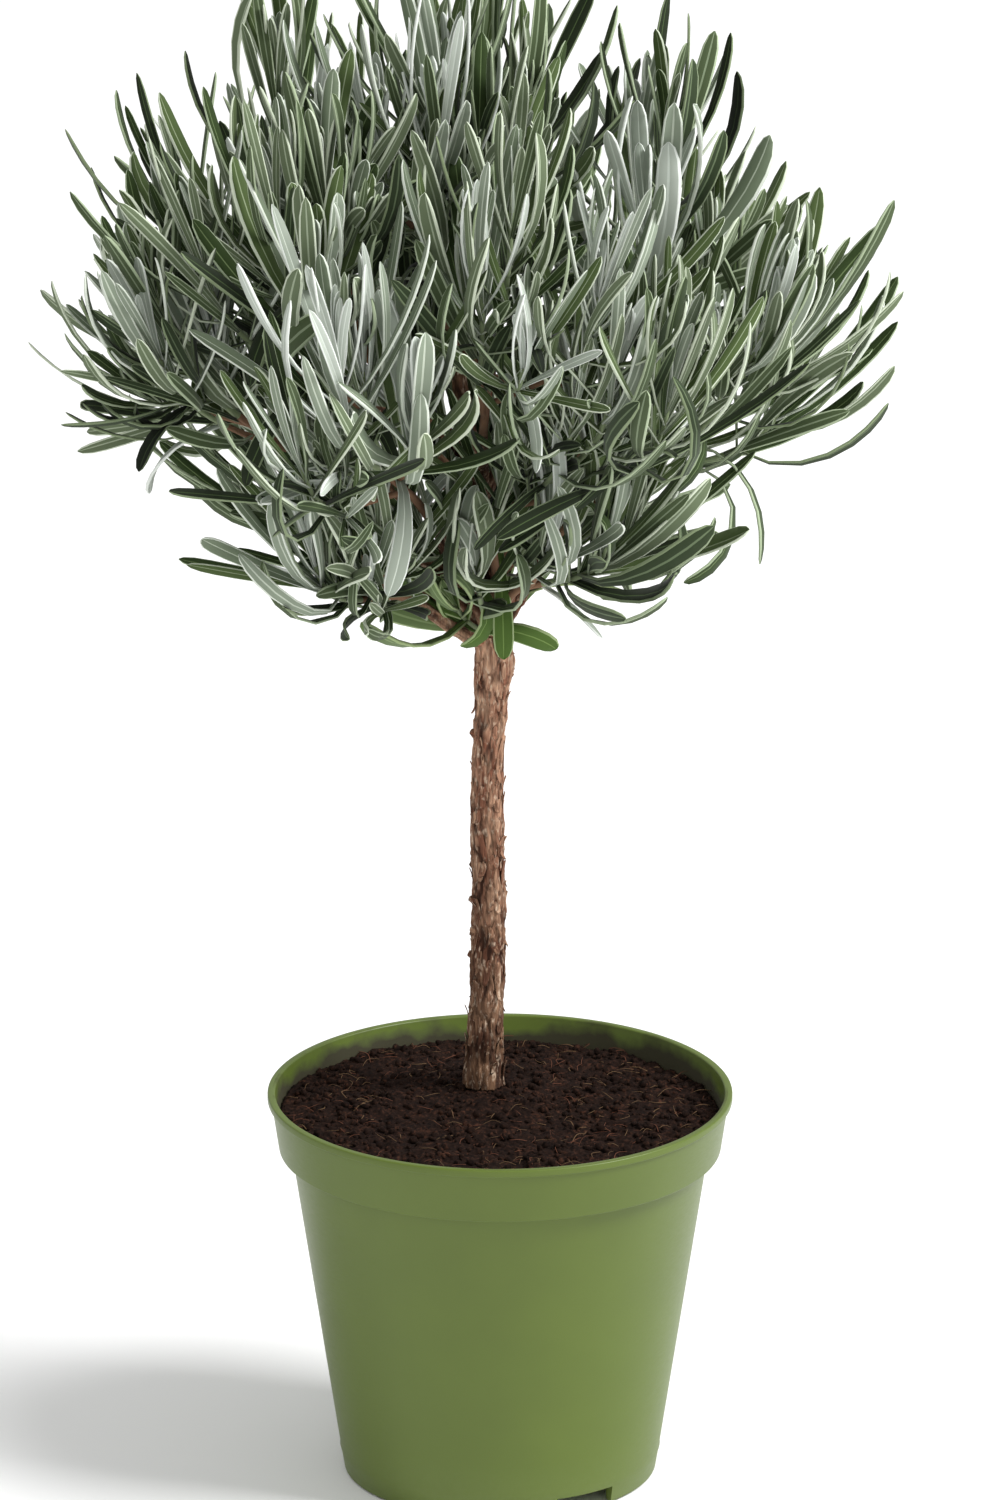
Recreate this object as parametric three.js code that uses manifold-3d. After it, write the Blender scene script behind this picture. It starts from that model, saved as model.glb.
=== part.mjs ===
/**
 * Lavender standard: a bare woody stem that carries a round, unclipped head of
 * shoots, growing in a round nursery pot filled with peat compost.
 *
 * Millimetres, +Z up. The pot's foot stands on z = 0 and the origin lies under the
 * middle of the head, so the pot's axis, POT.x, is a little to the right of it.
 * Azimuth is counted from +X towards +Y, so -90 degrees is the front.
 */
import * as THREE from 'three';
import { mergeVertices } from 'three/addons/utils/BufferGeometryUtils.js';
import Module from 'manifold-3d';

const wasm = await Module();
wasm.setup();

// ---------------------------------------------------------------- driving dimensions

const GAP = 0.35; // clearance between pieces that touch

const POT = {
  x: 9, // axis of the pot, to the right of the head's middle
  height: 145.3,
  wall: 1.4,
  footRadius: 57.2,
  footHeight: 6.5, // the floor plate is held this far off the ground
  footWidth: 3,
  bodyRadius: 58.3, // just above the foot
  shoulderRadius: 76.4, // where the body meets the collar
  collarHeight: 21.3,
  collarFootRadius: 80.8,
  collarTopRadius: 83.6,
  lipRadius: 85,
  lipHeight: 2.8,
  notches: 2, // cut in the foot ring, to let water out
  notchAzimuth: -57,
  notchWidth: 24,
  drainHoles: 8,
  drainRadius: 4,
  drainCircle: 43,
  segments: 40,
};

const COMPOST = {
  edgeLevel: 137.6, // height of the surface beside the pot's wall
  mound: 3.6, // rise towards the stem
  moundRadius: 62,
  roughness: 1.6,
  rings: 6,
};
const SHOULDER = POT.height - POT.collarHeight;
const GROUND = COMPOST.edgeLevel + COMPOST.mound;

// The stem's centre line, from the ground to the fork, and its radius along the way.
const STEM = {
  path: [
    [2.8, 18, GROUND + GAP],
    [3.9, 17, 172],
    [5.0, 15.5, 211],
    [4.3, 14, 251],
    [5.6, 12, 290],
    [7.0, 10, 318],
  ],
  radius: [
    [0, 7.4], // root flare
    [0.05, 6.3],
    [0.14, 5.7],
    [0.5, 5.2],
    [0.86, 5.1],
    [0.96, 6.7], // knuckle under the fork
    [1, 6.0],
  ],
  sides: 10,
  steps: 18,
};

// The head is an oval that stands on the fork and is drawn by how far it reaches.
const HEAD = {
  base: 318, // height of the fork
  height: 257,
  halfWidth: 153,
  halfDepth: 149,
};

// Tiers of foliage. rise is the slope of a tier's axes, inner and outer say how much
// of the reach the masses fill, half is their half-width across and up.
const TIERS = [
  { name: 'low', count: 4, first: -126, rise: 41, inner: 0.14, outer: 0.68, half: [46, 30], detail: 2 },
  { name: 'mid', count: 7, first: -102, rise: 49, inner: 0.36, outer: 1.0, half: [54, 46], detail: 3 },
  { name: 'high', count: 5, first: -66, rise: 67, inner: 0.38, outer: 1.0, half: [58, 52], detail: 3 },
  { name: 'crown', count: 1, first: 0, rise: 90, inner: 0.44, outer: 1.0, half: [60, 60], detail: 3 },
];
const TURN = { azimuth: 8, rise: 4, reach: 0.07 }; // how far a mass strays from its tier
const LUMPS = { count: 7, height: 0.075, finest: 6 };
const FATTER_TIP = 0.24; // a mass is broader towards its outer end
const CUT_TOLERANCE = 0.1; // slivers that a cut leaves within this are merged

// Boughs: radius where each leaves the wood that bears it, and where it enters its mass.
const BOUGHS = {
  low: { root: 2.7, tip: 1.5, from: 0.965 },
  mid: { root: 3.6, tip: 1.9, from: 0.99 },
  high: { root: 2.5, tip: 1.5, from: 0.34 },
  crown: { root: 4.2, tip: 2.0, from: 1 },
};
const STRONGEST = { tier: 'mid', index: 1, root: 4.7, tip: 2.6 }; // the thick fork, front right
const BOUGH_SIDES = 7;
const BOUGH_STEPS = 4;
const BITE = 9; // how far a bough's line runs on into its mass before it is cut

const FINISH = {
  pot: { color: 0x6a7b42, roughness: 0.42, metalness: 0 },
  compost: { color: 0x2b2220, roughness: 1, metalness: 0 },
  bark: { color: 0x7a5c49, roughness: 0.95, metalness: 0 },
  leaf: { color: 0x66705c, roughness: 0.9, metalness: 0 },
};

// ---------------------------------------------------------------- small helpers

/** A repeatable source of numbers from 0 to 1. */
function seeded(seed) {
  let state = seed >>> 0;
  return () => {
    state = (state + 0x6d2b79f5) >>> 0;
    let t = state;
    t = Math.imul(t ^ (t >>> 15), t | 1);
    t ^= t + Math.imul(t ^ (t >>> 7), t | 61);
    return ((t ^ (t >>> 14)) >>> 0) / 4294967296;
  };
}

/** Straight-line interpolation in a list of [place, value] pairs. */
function along(pairs, place) {
  const next = pairs.findIndex(([p]) => p >= place);
  if (next <= 0) return pairs[0][1];
  const [p0, v0] = pairs[next - 1];
  const [p1, v1] = pairs[next];
  return v0 + ((v1 - v0) * (place - p0)) / (p1 - p0);
}

/** Direction from an azimuth and a slope, both in degrees. */
function heading(azimuth, rise) {
  const a = THREE.MathUtils.degToRad(azimuth);
  const r = THREE.MathUtils.degToRad(rise);
  return new THREE.Vector3(Math.cos(a) * Math.cos(r), Math.sin(a) * Math.cos(r), Math.sin(r));
}

/** A geometry as a solid, with its shared vertices merged. */
function solidOf(geometry) {
  const bare = geometry.clone();
  bare.deleteAttribute('normal');
  bare.deleteAttribute('uv');
  const welded = mergeVertices(bare, 1e-4);
  return new wasm.Manifold(
    new wasm.Mesh({
      numProp: 3,
      vertProperties: new Float32Array(welded.attributes.position.array),
      triVerts: new Uint32Array(welded.index.array),
    }),
  );
}

/** The largest piece of a solid that a cut may have left in several. */
function largest(solid) {
  return solid.decompose().sort((a, b) => b.volume() - a.volume())[0];
}

/** A named mesh from a solid. */
function meshOf(name, solid, finish) {
  const { vertProperties, triVerts } = solid.getMesh();
  const geometry = new THREE.BufferGeometry();
  geometry.setAttribute('position', new THREE.BufferAttribute(vertProperties, 3));
  geometry.setIndex(new THREE.BufferAttribute(triVerts, 1));
  geometry.computeVertexNormals();
  const mesh = new THREE.Mesh(geometry, new THREE.MeshStandardMaterial(finish));
  mesh.name = name;
  return mesh;
}

// ---------------------------------------------------------------- pot and compost

/** Radius of the pot's outer face at a height between the foot and the shoulder. */
function bodyRadius(z) {
  const share = (z - POT.footHeight) / (SHOULDER - POT.footHeight);
  return THREE.MathUtils.lerp(POT.bodyRadius, POT.shoulderRadius, share);
}

/** The pot: one turned shell, with notches in its foot and drain holes in its floor. */
function makePot() {
  const { wall, footHeight, height } = POT;
  const floor = footHeight + wall;
  const profile = [
    [0, footHeight],
    [POT.footRadius - POT.footWidth, footHeight],
    [POT.footRadius - POT.footWidth, 0],
    [POT.footRadius, 0],
    [POT.bodyRadius, footHeight],
    [POT.shoulderRadius, SHOULDER],
    [POT.collarFootRadius, SHOULDER],
    [POT.collarTopRadius, height - POT.lipHeight],
    [POT.lipRadius, height - POT.lipHeight],
    [POT.lipRadius, height],
    [POT.collarTopRadius - wall, height],
    [POT.collarFootRadius - wall, SHOULDER + wall],
    [POT.shoulderRadius - wall, SHOULDER + wall],
    [bodyRadius(floor) - wall, floor],
    [0, floor],
  ].map(([r, z]) => new THREE.Vector2(r, z));
  const shell = new THREE.LatheGeometry(profile, POT.segments).rotateX(Math.PI / 2);
  let pot = solidOf(shell);

  for (let i = 0; i < POT.notches; i += 1) {
    const turn = THREE.MathUtils.degToRad(POT.notchAzimuth + (360 / POT.notches) * i);
    const notch = new THREE.BoxGeometry(4 * POT.footWidth, POT.notchWidth, 2 * footHeight)
      .translate(POT.footRadius, 0, 0)
      .rotateZ(turn);
    pot = pot.subtract(solidOf(notch));
  }
  for (let i = 0; i < POT.drainHoles; i += 1) {
    const turn = (2 * Math.PI * (i + 0.5)) / POT.drainHoles;
    const hole = new THREE.CylinderGeometry(POT.drainRadius, POT.drainRadius, 4 * wall, 10)
      .rotateX(Math.PI / 2)
      .translate(POT.drainCircle * Math.cos(turn), POT.drainCircle * Math.sin(turn), floor);
    pot = pot.subtract(solidOf(hole));
  }
  return pot.translate([POT.x, 0, 0]);
}

/** Height of the compost's crumbly surface: it never rises over the ground at the stem. */
function groundAt(x, y) {
  const [footX, footY] = STEM.path[0];
  const away = Math.hypot(x - footX, y - footY);
  const mound = 1 - THREE.MathUtils.smoothstep(away, 0, COMPOST.moundRadius);
  const crumbs = 0.5 + 0.25 * (Math.sin(x * 0.21 + y * 0.13) + Math.cos(y * 0.27 - x * 0.09));
  const rough = COMPOST.roughness * THREE.MathUtils.smoothstep(away, 8, 24);
  return COMPOST.edgeLevel + COMPOST.mound * mound - rough * crumbs;
}

/** The compost: it fills the pot up to its surface. */
function makeCompost() {
  const inset = POT.wall + GAP;
  const floor = POT.footHeight + POT.wall + GAP;
  const ledge = SHOULDER + inset;
  const collarSlope = (POT.collarTopRadius - POT.collarFootRadius) / POT.collarHeight;
  const rim = POT.collarFootRadius - inset + collarSlope * (COMPOST.edgeLevel - ledge);
  const profile = [
    [0, floor],
    [bodyRadius(floor) - inset, floor],
    [POT.shoulderRadius - inset, ledge],
    [POT.collarFootRadius - inset, ledge],
  ];
  for (let i = 0; i <= COMPOST.rings; i += 1) {
    profile.push([rim * (1 - i / COMPOST.rings), COMPOST.edgeLevel]);
  }
  const points = profile.map(([r, z]) => new THREE.Vector2(r, z));
  const lathe = new THREE.LatheGeometry(points, POT.segments / 2)
    .rotateX(Math.PI / 2)
    .rotateZ(Math.PI / POT.segments)
    .translate(POT.x, 0, 0);
  const position = lathe.attributes.position;
  for (let i = 0; i < position.count; i += 1) {
    if (position.getZ(i) > COMPOST.edgeLevel - GAP) {
      position.setZ(i, groundAt(position.getX(i), position.getY(i)));
    }
  }
  return solidOf(lathe);
}

// ---------------------------------------------------------------- wood

/**
 * A limb: a cylinder laid along a curve, with a radius for each place on it.
 * grow thickens and lengthens it, for cutting clearance into its neighbours.
 */
function limb(curve, radiusAt, sides, steps, grow = 0) {
  const tube = new THREE.CylinderGeometry(1, 1, 1, sides, steps);
  const frames = curve.computeFrenetFrames(steps, false);
  const position = tube.attributes.position;
  const place = new THREE.Vector3();
  for (let i = 0; i < position.count; i += 1) {
    const t = position.getY(i) + 0.5;
    const step = Math.round(t * steps);
    const radius = radiusAt(t) + grow;
    const overrun = t < 1e-6 ? -grow : t > 1 - 1e-6 ? grow : 0;
    curve.getPointAt(t, place);
    place.addScaledVector(frames.tangents[step], overrun);
    place.addScaledVector(frames.normals[step], position.getX(i) * radius);
    place.addScaledVector(frames.binormals[step], -position.getZ(i) * radius);
    position.setXYZ(i, place.x, place.y, place.z);
  }
  const solid = solidOf(tube);
  return solid.volume() > 0 ? solid : null;
}

const stemCurve = new THREE.CatmullRomCurve3(STEM.path.map((p) => new THREE.Vector3(...p)));

/** The stem, from its flat cut at the ground to the fork. */
function makeStem(grow = 0) {
  const solid = limb(stemCurve, (t) => along(STEM.radius, t), STEM.sides, STEM.steps, grow);
  const below = new THREE.BoxGeometry(60, 60, 20).translate(0, 0, GROUND + GAP - grow - 10);
  return solid.subtract(solidOf(below));
}

/** The curve and radii of the bough that bears one mass. */
function boughPlan(mass, leader) {
  const size = BOUGHS[mass.tier];
  const bearer = mass.tier === 'high' ? leader.curve : stemCurve;
  const root = bearer.getPointAt(size.from + (mass.tier === 'high' ? 0.06 * mass.index : 0));
  const tip = mass.inner.clone().addScaledVector(mass.axis, BITE);
  const lift = mass.tier === 'low' ? 0.35 : 0.62;
  const elbow = new THREE.Vector3(
    THREE.MathUtils.lerp(root.x, tip.x, 0.45),
    THREE.MathUtils.lerp(root.y, tip.y, 0.45),
    THREE.MathUtils.lerp(root.z, tip.z, lift),
  );
  const strong = mass.tier === STRONGEST.tier && mass.index === STRONGEST.index;
  const { root: thick, tip: thin } = strong ? STRONGEST : size;
  return {
    name: `bough_${mass.tier}_${mass.index + 1}`,
    curve: new THREE.QuadraticBezierCurve3(root, elbow, tip),
    radiusAt: (t) => THREE.MathUtils.lerp(thick, thin, t),
  };
}

// ---------------------------------------------------------------- foliage

/** How far the head's outline lies from the fork along a direction. */
function reachAlong(direction) {
  const half = HEAD.height / 2;
  const flat = (direction.x / HEAD.halfWidth) ** 2 + (direction.y / HEAD.halfDepth) ** 2;
  const up = direction.z / half;
  return (2 * up) / (flat + up * up);
}

/** Place, axis and sizes of each mass of foliage. */
function planMasses() {
  const random = seeded(11);
  const stray = (size) => size * (2 * random() - 1);
  return TIERS.flatMap((tier) =>
    Array.from({ length: tier.count }, (_, index) => {
      const alone = tier.count === 1;
      const azimuth = tier.first + (360 / tier.count) * index + stray(TURN.azimuth);
      const rise = tier.rise - (alone ? 0 : stray(TURN.rise));
      const axis = heading(azimuth, rise);
      const reach = reachAlong(axis) * (1 + (alone ? 0 : stray(TURN.reach)));
      const base = new THREE.Vector3(0, 0, HEAD.base);
      return {
        tier: tier.name,
        index,
        axis,
        across: heading(azimuth + 90, 0),
        inner: base.clone().addScaledVector(axis, reach * tier.inner),
        middle: base.clone().addScaledVector(axis, (reach * (tier.inner + tier.outer)) / 2),
        halfLength: (reach * (tier.outer - tier.inner)) / 2,
        half: tier.half,
        detail: tier.detail,
        lumps: Array.from({ length: LUMPS.count }, () => ({
          wave: new THREE.Vector3(stray(1), stray(1), stray(1))
            .normalize()
            .multiplyScalar(2 + (LUMPS.finest - 2) * random()),
          phase: 2 * Math.PI * random(),
        })),
      };
    }),
  );
}

/** One mass: a closed ball of leaves drawn out along its axis, fuller outside, and lumpy. */
function makeMass(mass) {
  const ball = new THREE.IcosahedronGeometry(1, mass.detail);
  const up = new THREE.Vector3().crossVectors(mass.axis, mass.across);
  const position = ball.attributes.position;
  const point = new THREE.Vector3();
  for (let i = 0; i < position.count; i += 1) {
    point.fromBufferAttribute(position, i);
    const swell = mass.lumps.reduce(
      (sum, { wave, phase }) => sum + LUMPS.height * Math.cos(point.dot(wave) + phase),
      1,
    );
    const fat = swell * (1 + FATTER_TIP * point.x);
    const place = mass.middle
      .clone()
      .addScaledVector(mass.axis, point.x * mass.halfLength * (1 + (swell - 1) * 0.6))
      .addScaledVector(mass.across, point.y * mass.half[0] * fat)
      .addScaledVector(up, point.z * mass.half[1] * fat);
    position.setXYZ(i, place.x, place.y, place.z);
  }
  const solid = solidOf(ball);
  return { ...mass, solid };
}

/** Draws the masses together in or out, until the head has its stated width, depth and height. */
function fitHead(masses) {
  const box = new THREE.Box3();
  masses.forEach(({ solid }) => {
    const { min, max } = solid.boundingBox();
    box.expandByPoint(new THREE.Vector3(...min)).expandByPoint(new THREE.Vector3(...max));
  });
  const middle = box.getCenter(new THREE.Vector3()).setZ(HEAD.base);
  const scale = new THREE.Vector3(2 * HEAD.halfWidth, 2 * HEAD.halfDepth, HEAD.height).divide(
    new THREE.Vector3(box.max.x - box.min.x, box.max.y - box.min.y, box.max.z - HEAD.base),
  );
  return masses.map((mass) => {
    const fit = (point) => point.clone().sub(middle).multiply(scale).setZ((point.z - HEAD.base) * scale.z);
    const lift = new THREE.Vector3(0, 0, HEAD.base);
    return {
      ...mass,
      inner: fit(mass.inner).add(lift),
      middle: fit(mass.middle).add(lift),
      solid: mass.solid
        .translate([-middle.x, -middle.y, -middle.z])
        .scale(scale.toArray())
        .translate(lift.toArray()),
    };
  });
}

/** The half of space on the far side of a plane, as a block. */
function beyond(point, normal) {
  const size = 3 * HEAD.height;
  const block = new THREE.BoxGeometry(size, size, size).translate(0, 0, size / 2);
  block.applyQuaternion(new THREE.Quaternion().setFromUnitVectors(new THREE.Vector3(0, 0, 1), normal));
  block.translate(point.x, point.y, point.z);
  return solidOf(block);
}

/** Parts masses that run into each other, along the plane half way between them. */
function partMasses(masses) {
  masses.forEach((a, i) => {
    masses.slice(i + 1).forEach((b) => {
      if (a.solid.intersect(b.solid).volume() <= 0) return;
      const normal = b.middle.clone().sub(a.middle).normalize();
      const between = a.middle.clone().lerp(b.middle, 0.5);
      const nearFace = between.clone().addScaledVector(normal, -GAP / 2);
      const farFace = between.clone().addScaledVector(normal, GAP / 2);
      a.solid = largest(a.solid.subtract(beyond(nearFace, normal)));
      b.solid = largest(b.solid.subtract(beyond(farFace, normal.clone().negate())));
    });
  });
}

/** A slightly larger copy of a mass, for ending a bough at its face. */
function grown(mass) {
  const { x, y, z } = mass.middle;
  const scale = 1.02;
  return mass.solid.translate([-x, -y, -z]).scale([scale, scale, scale]).translate([x, y, z]);
}

// ---------------------------------------------------------------- assembly

const plant = new THREE.Group();
plant.add(meshOf('pot', makePot(), FINISH.pot));
plant.add(meshOf('compost', makeCompost(), FINISH.compost));
plant.add(meshOf('trunk', makeStem(), FINISH.bark));

const masses = fitHead(planMasses().map(makeMass));
partMasses(masses);
masses.forEach((mass) => {
  mass.solid = mass.solid.simplify(CUT_TOLERANCE);
  plant.add(meshOf(`foliage_${mass.tier}_${mass.index + 1}`, mass.solid, FINISH.leaf));
});

const fatMasses = masses.map(grown);
const crownMass = masses.find((mass) => mass.tier === 'crown');
const leader = boughPlan(crownMass);
const taken = [makeStem(GAP)];
[crownMass, ...masses.filter((mass) => mass !== crownMass)].forEach((mass) => {
  const plan = mass === crownMass ? leader : boughPlan(mass, leader);
  let solid = limb(plan.curve, plan.radiusAt, BOUGH_SIDES, BOUGH_STEPS);
  [...taken, ...fatMasses].forEach((other) => {
    solid = solid.subtract(other);
  });
  plant.add(meshOf(plan.name, largest(solid).simplify(CUT_TOLERANCE / 2), FINISH.bark));
  taken.push(limb(plan.curve, plan.radiusAt, BOUGH_SIDES, BOUGH_STEPS, GAP));
});

export default plant;
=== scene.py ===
"""Lavender standard in a nursery pot: the looks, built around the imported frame.

Metres, +Z up, in the frame's own axes. Azimuth is counted from +X towards +Y, so the
front of the plant faces -Y. Every size that the frame states is read from it.
"""

import logging
import math
from dataclasses import dataclass, field
from enum import Enum, IntEnum

import bmesh
import bpy
import numpy as np
from mathutils import Matrix, Quaternion, Vector, noise
from mathutils.bvhtree import BVHTree


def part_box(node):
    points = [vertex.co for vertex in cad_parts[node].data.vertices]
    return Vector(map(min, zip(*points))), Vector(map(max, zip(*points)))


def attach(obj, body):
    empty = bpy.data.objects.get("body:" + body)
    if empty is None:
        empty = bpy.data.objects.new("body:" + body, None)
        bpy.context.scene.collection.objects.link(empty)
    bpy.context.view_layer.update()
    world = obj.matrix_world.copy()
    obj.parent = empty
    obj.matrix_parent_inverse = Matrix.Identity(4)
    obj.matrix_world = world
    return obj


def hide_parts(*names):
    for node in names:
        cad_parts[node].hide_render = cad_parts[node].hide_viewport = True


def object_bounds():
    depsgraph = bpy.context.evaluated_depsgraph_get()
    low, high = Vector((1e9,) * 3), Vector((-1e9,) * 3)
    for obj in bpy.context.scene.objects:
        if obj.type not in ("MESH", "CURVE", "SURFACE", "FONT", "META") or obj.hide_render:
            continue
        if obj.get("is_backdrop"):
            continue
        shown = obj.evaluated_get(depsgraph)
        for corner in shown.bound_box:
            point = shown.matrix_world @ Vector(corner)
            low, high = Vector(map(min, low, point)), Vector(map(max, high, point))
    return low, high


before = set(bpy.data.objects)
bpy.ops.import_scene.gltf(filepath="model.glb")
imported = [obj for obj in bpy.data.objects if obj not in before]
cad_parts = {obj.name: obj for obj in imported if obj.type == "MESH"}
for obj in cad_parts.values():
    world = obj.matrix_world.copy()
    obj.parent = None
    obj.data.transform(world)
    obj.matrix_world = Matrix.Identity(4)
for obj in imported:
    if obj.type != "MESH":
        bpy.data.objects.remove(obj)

LOG = logging.getLogger("lavender_standard")
UP = Vector((0.0, 0.0, 1.0))
GOLDEN_ANGLE = math.pi * (3.0 - math.sqrt(5.0))
MM = 0.001


# ---------------------------------------------------------------- shader tools


class Signal:
    """A shader socket's output, with arithmetic that adds Math nodes."""

    def __init__(self, graph: "Graph", socket: bpy.types.NodeSocket) -> None:
        """Wraps one output socket of a graph."""
        self.graph = graph
        self.socket = socket

    def __add__(self, other: "Signal | float") -> "Signal":
        """Sum."""
        return self.graph.maths("ADD", self, other)

    def __radd__(self, other: float) -> "Signal":
        """Sum, with the number first."""
        return self.graph.maths("ADD", other, self)

    def __sub__(self, other: "Signal | float") -> "Signal":
        """Difference."""
        return self.graph.maths("SUBTRACT", self, other)

    def __rsub__(self, other: float) -> "Signal":
        """Difference, with the number first."""
        return self.graph.maths("SUBTRACT", other, self)

    def __mul__(self, other: "Signal | float") -> "Signal":
        """Product."""
        return self.graph.maths("MULTIPLY", self, other)

    def __rmul__(self, other: float) -> "Signal":
        """Product, with the number first."""
        return self.graph.maths("MULTIPLY", other, self)

    def at_least(self, least: float) -> "Signal":
        """The value, held at or above a number."""
        return self.graph.maths("MAXIMUM", self, least)

    def at_most(self, most: float) -> "Signal":
        """The value, held at or below a number."""
        return self.graph.maths("MINIMUM", self, most)


class Graph:
    """One material's node tree, around its Principled shader."""

    def __init__(self, name: str) -> None:
        """Makes the material with its Principled shader and nothing else.

        Args:
            name: the material's name.
        """
        self.material = bpy.data.materials.new(name)
        self.material.use_nodes = True
        self.tree = self.material.node_tree
        self.shader = self.tree.nodes["Principled BSDF"]

    def node(self, kind: str, settings: dict | None = None, sockets: dict | None = None) -> bpy.types.Node:
        """Adds a node.

        Args:
            kind: the node's type, such as "ShaderNodeTexNoise".
            settings: its own properties, and ramp stops as a list under "stops".
            sockets: value or Signal for each named or numbered input.

        Returns:
            The node.
        """
        made = self.tree.nodes.new(kind)
        for name, value in (settings or {}).items():
            if name == "stops":
                self._set_stops(made.color_ramp, value)
            else:
                setattr(made, name, value)
        for name, value in (sockets or {}).items():
            self.plug(made.inputs[name], value)
        return made

    @staticmethod
    def _set_stops(ramp: bpy.types.ColorRamp, stops: list) -> None:
        """Sets the stops of a colour ramp.

        Args:
            ramp: the ramp.
            stops: (place, colour) of each stop, in order.
        """
        while len(ramp.elements) < len(stops):
            ramp.elements.new(1.0)
        for element, (place, colour) in zip(ramp.elements, stops):
            element.position = place
            element.color = (*colour, 1.0)

    def plug(self, socket: bpy.types.NodeSocket, value: "Signal | float | tuple") -> None:
        """Links a Signal to an input, or sets the input's own value.

        Args:
            socket: the input.
            value: the Signal, number, vector or linear colour.
        """
        if isinstance(value, Signal):
            self.tree.links.new(value.socket, socket)
        elif isinstance(value, tuple) and len(value) == 3 and socket.type == "RGBA":
            socket.default_value = (*value, 1.0)
        else:
            socket.default_value = value

    def maths(self, operation: str, first: "Signal | float", second: "Signal | float") -> Signal:
        """One Math node on two values."""
        made = self.node("ShaderNodeMath", {"operation": operation}, {0: first, 1: second})
        return Signal(self, made.outputs[0])

    def coordinates(self) -> Signal:
        """The piece's Object coordinates, which are the frame's metres."""
        return Signal(self, self.node("ShaderNodeTexCoord").outputs["Object"])

    def separated(self) -> list[Signal]:
        """The Object coordinates one by one: X, Y and Z."""
        parts = self.node("ShaderNodeSeparateXYZ", None, {0: self.coordinates()})
        return [Signal(self, parts.outputs[name]) for name in ("X", "Y", "Z")]

    def stretched(self, scale: tuple) -> Signal:
        """Object coordinates scaled along each axis, for patterns that run one way."""
        made = self.node("ShaderNodeMapping", None, {"Vector": self.coordinates(), "Scale": scale})
        return Signal(self, made.outputs["Vector"])

    def noise(self, scale: float, detail: float = 3.0, where: Signal | None = None) -> Signal:
        """Smooth noise from 0 to 1, with scale in waves for each metre."""
        sockets = {"Vector": where or self.coordinates(), "Scale": scale, "Detail": detail}
        return Signal(self, self.node("ShaderNodeTexNoise", None, sockets).outputs["Fac"])

    def attribute(self, name: str) -> Signal:
        """A number that the piece's mesh holds."""
        return Signal(self, self.node("ShaderNodeAttribute", {"attribute_name": name}).outputs["Fac"])

    def ramp(self, value: Signal, stops: list) -> Signal:
        """Colours along a value."""
        made = self.node("ShaderNodeValToRGB", {"stops": stops}, {"Fac": value})
        return Signal(self, made.outputs["Color"])

    def mix(self, share: "Signal | float", first: "Signal | tuple", second: "Signal | tuple") -> Signal:
        """Two colours mixed by a share."""
        made = self.node("ShaderNodeMix", {"data_type": "RGBA"}, {0: share, 6: first, 7: second})
        return Signal(self, made.outputs[2])

    def bump(self, height: Signal, strength: float, distance: float) -> None:
        """Puts a relief on the shader's Normal.

        Args:
            height: the relief, from 0 to 1.
            strength: how much of it shows.
            distance: its depth in metres.
        """
        sockets = {"Height": height, "Strength": strength, "Distance": distance}
        made = self.node("ShaderNodeBump", None, sockets)
        self.plug(self.shader.inputs["Normal"], Signal(self, made.outputs["Normal"]))

    def set(self, **values: "Signal | float | tuple") -> None:
        """Sets or links the shader's inputs, named with _ for a space."""
        for name, value in values.items():
            self.plug(self.shader.inputs[name.replace("_", " ")], value)


def linear(red: int, green: int, blue: int) -> tuple[float, float, float]:
    """Turns a display colour into the linear colour that a shader takes.

    Args:
        red: red, from 0 to 255.
        green: green, from 0 to 255.
        blue: blue, from 0 to 255.

    Returns:
        The linear red, green and blue, from 0 to 1.
    """
    def channel(value: int) -> float:
        """One channel's linear share, by the sRGB curve."""
        share = value / 255.0
        return share / 12.92 if share <= 0.04045 else ((share + 0.055) / 1.055) ** 2.4

    return channel(red), channel(green), channel(blue)


# ---------------------------------------------------------------- finishes


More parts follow.
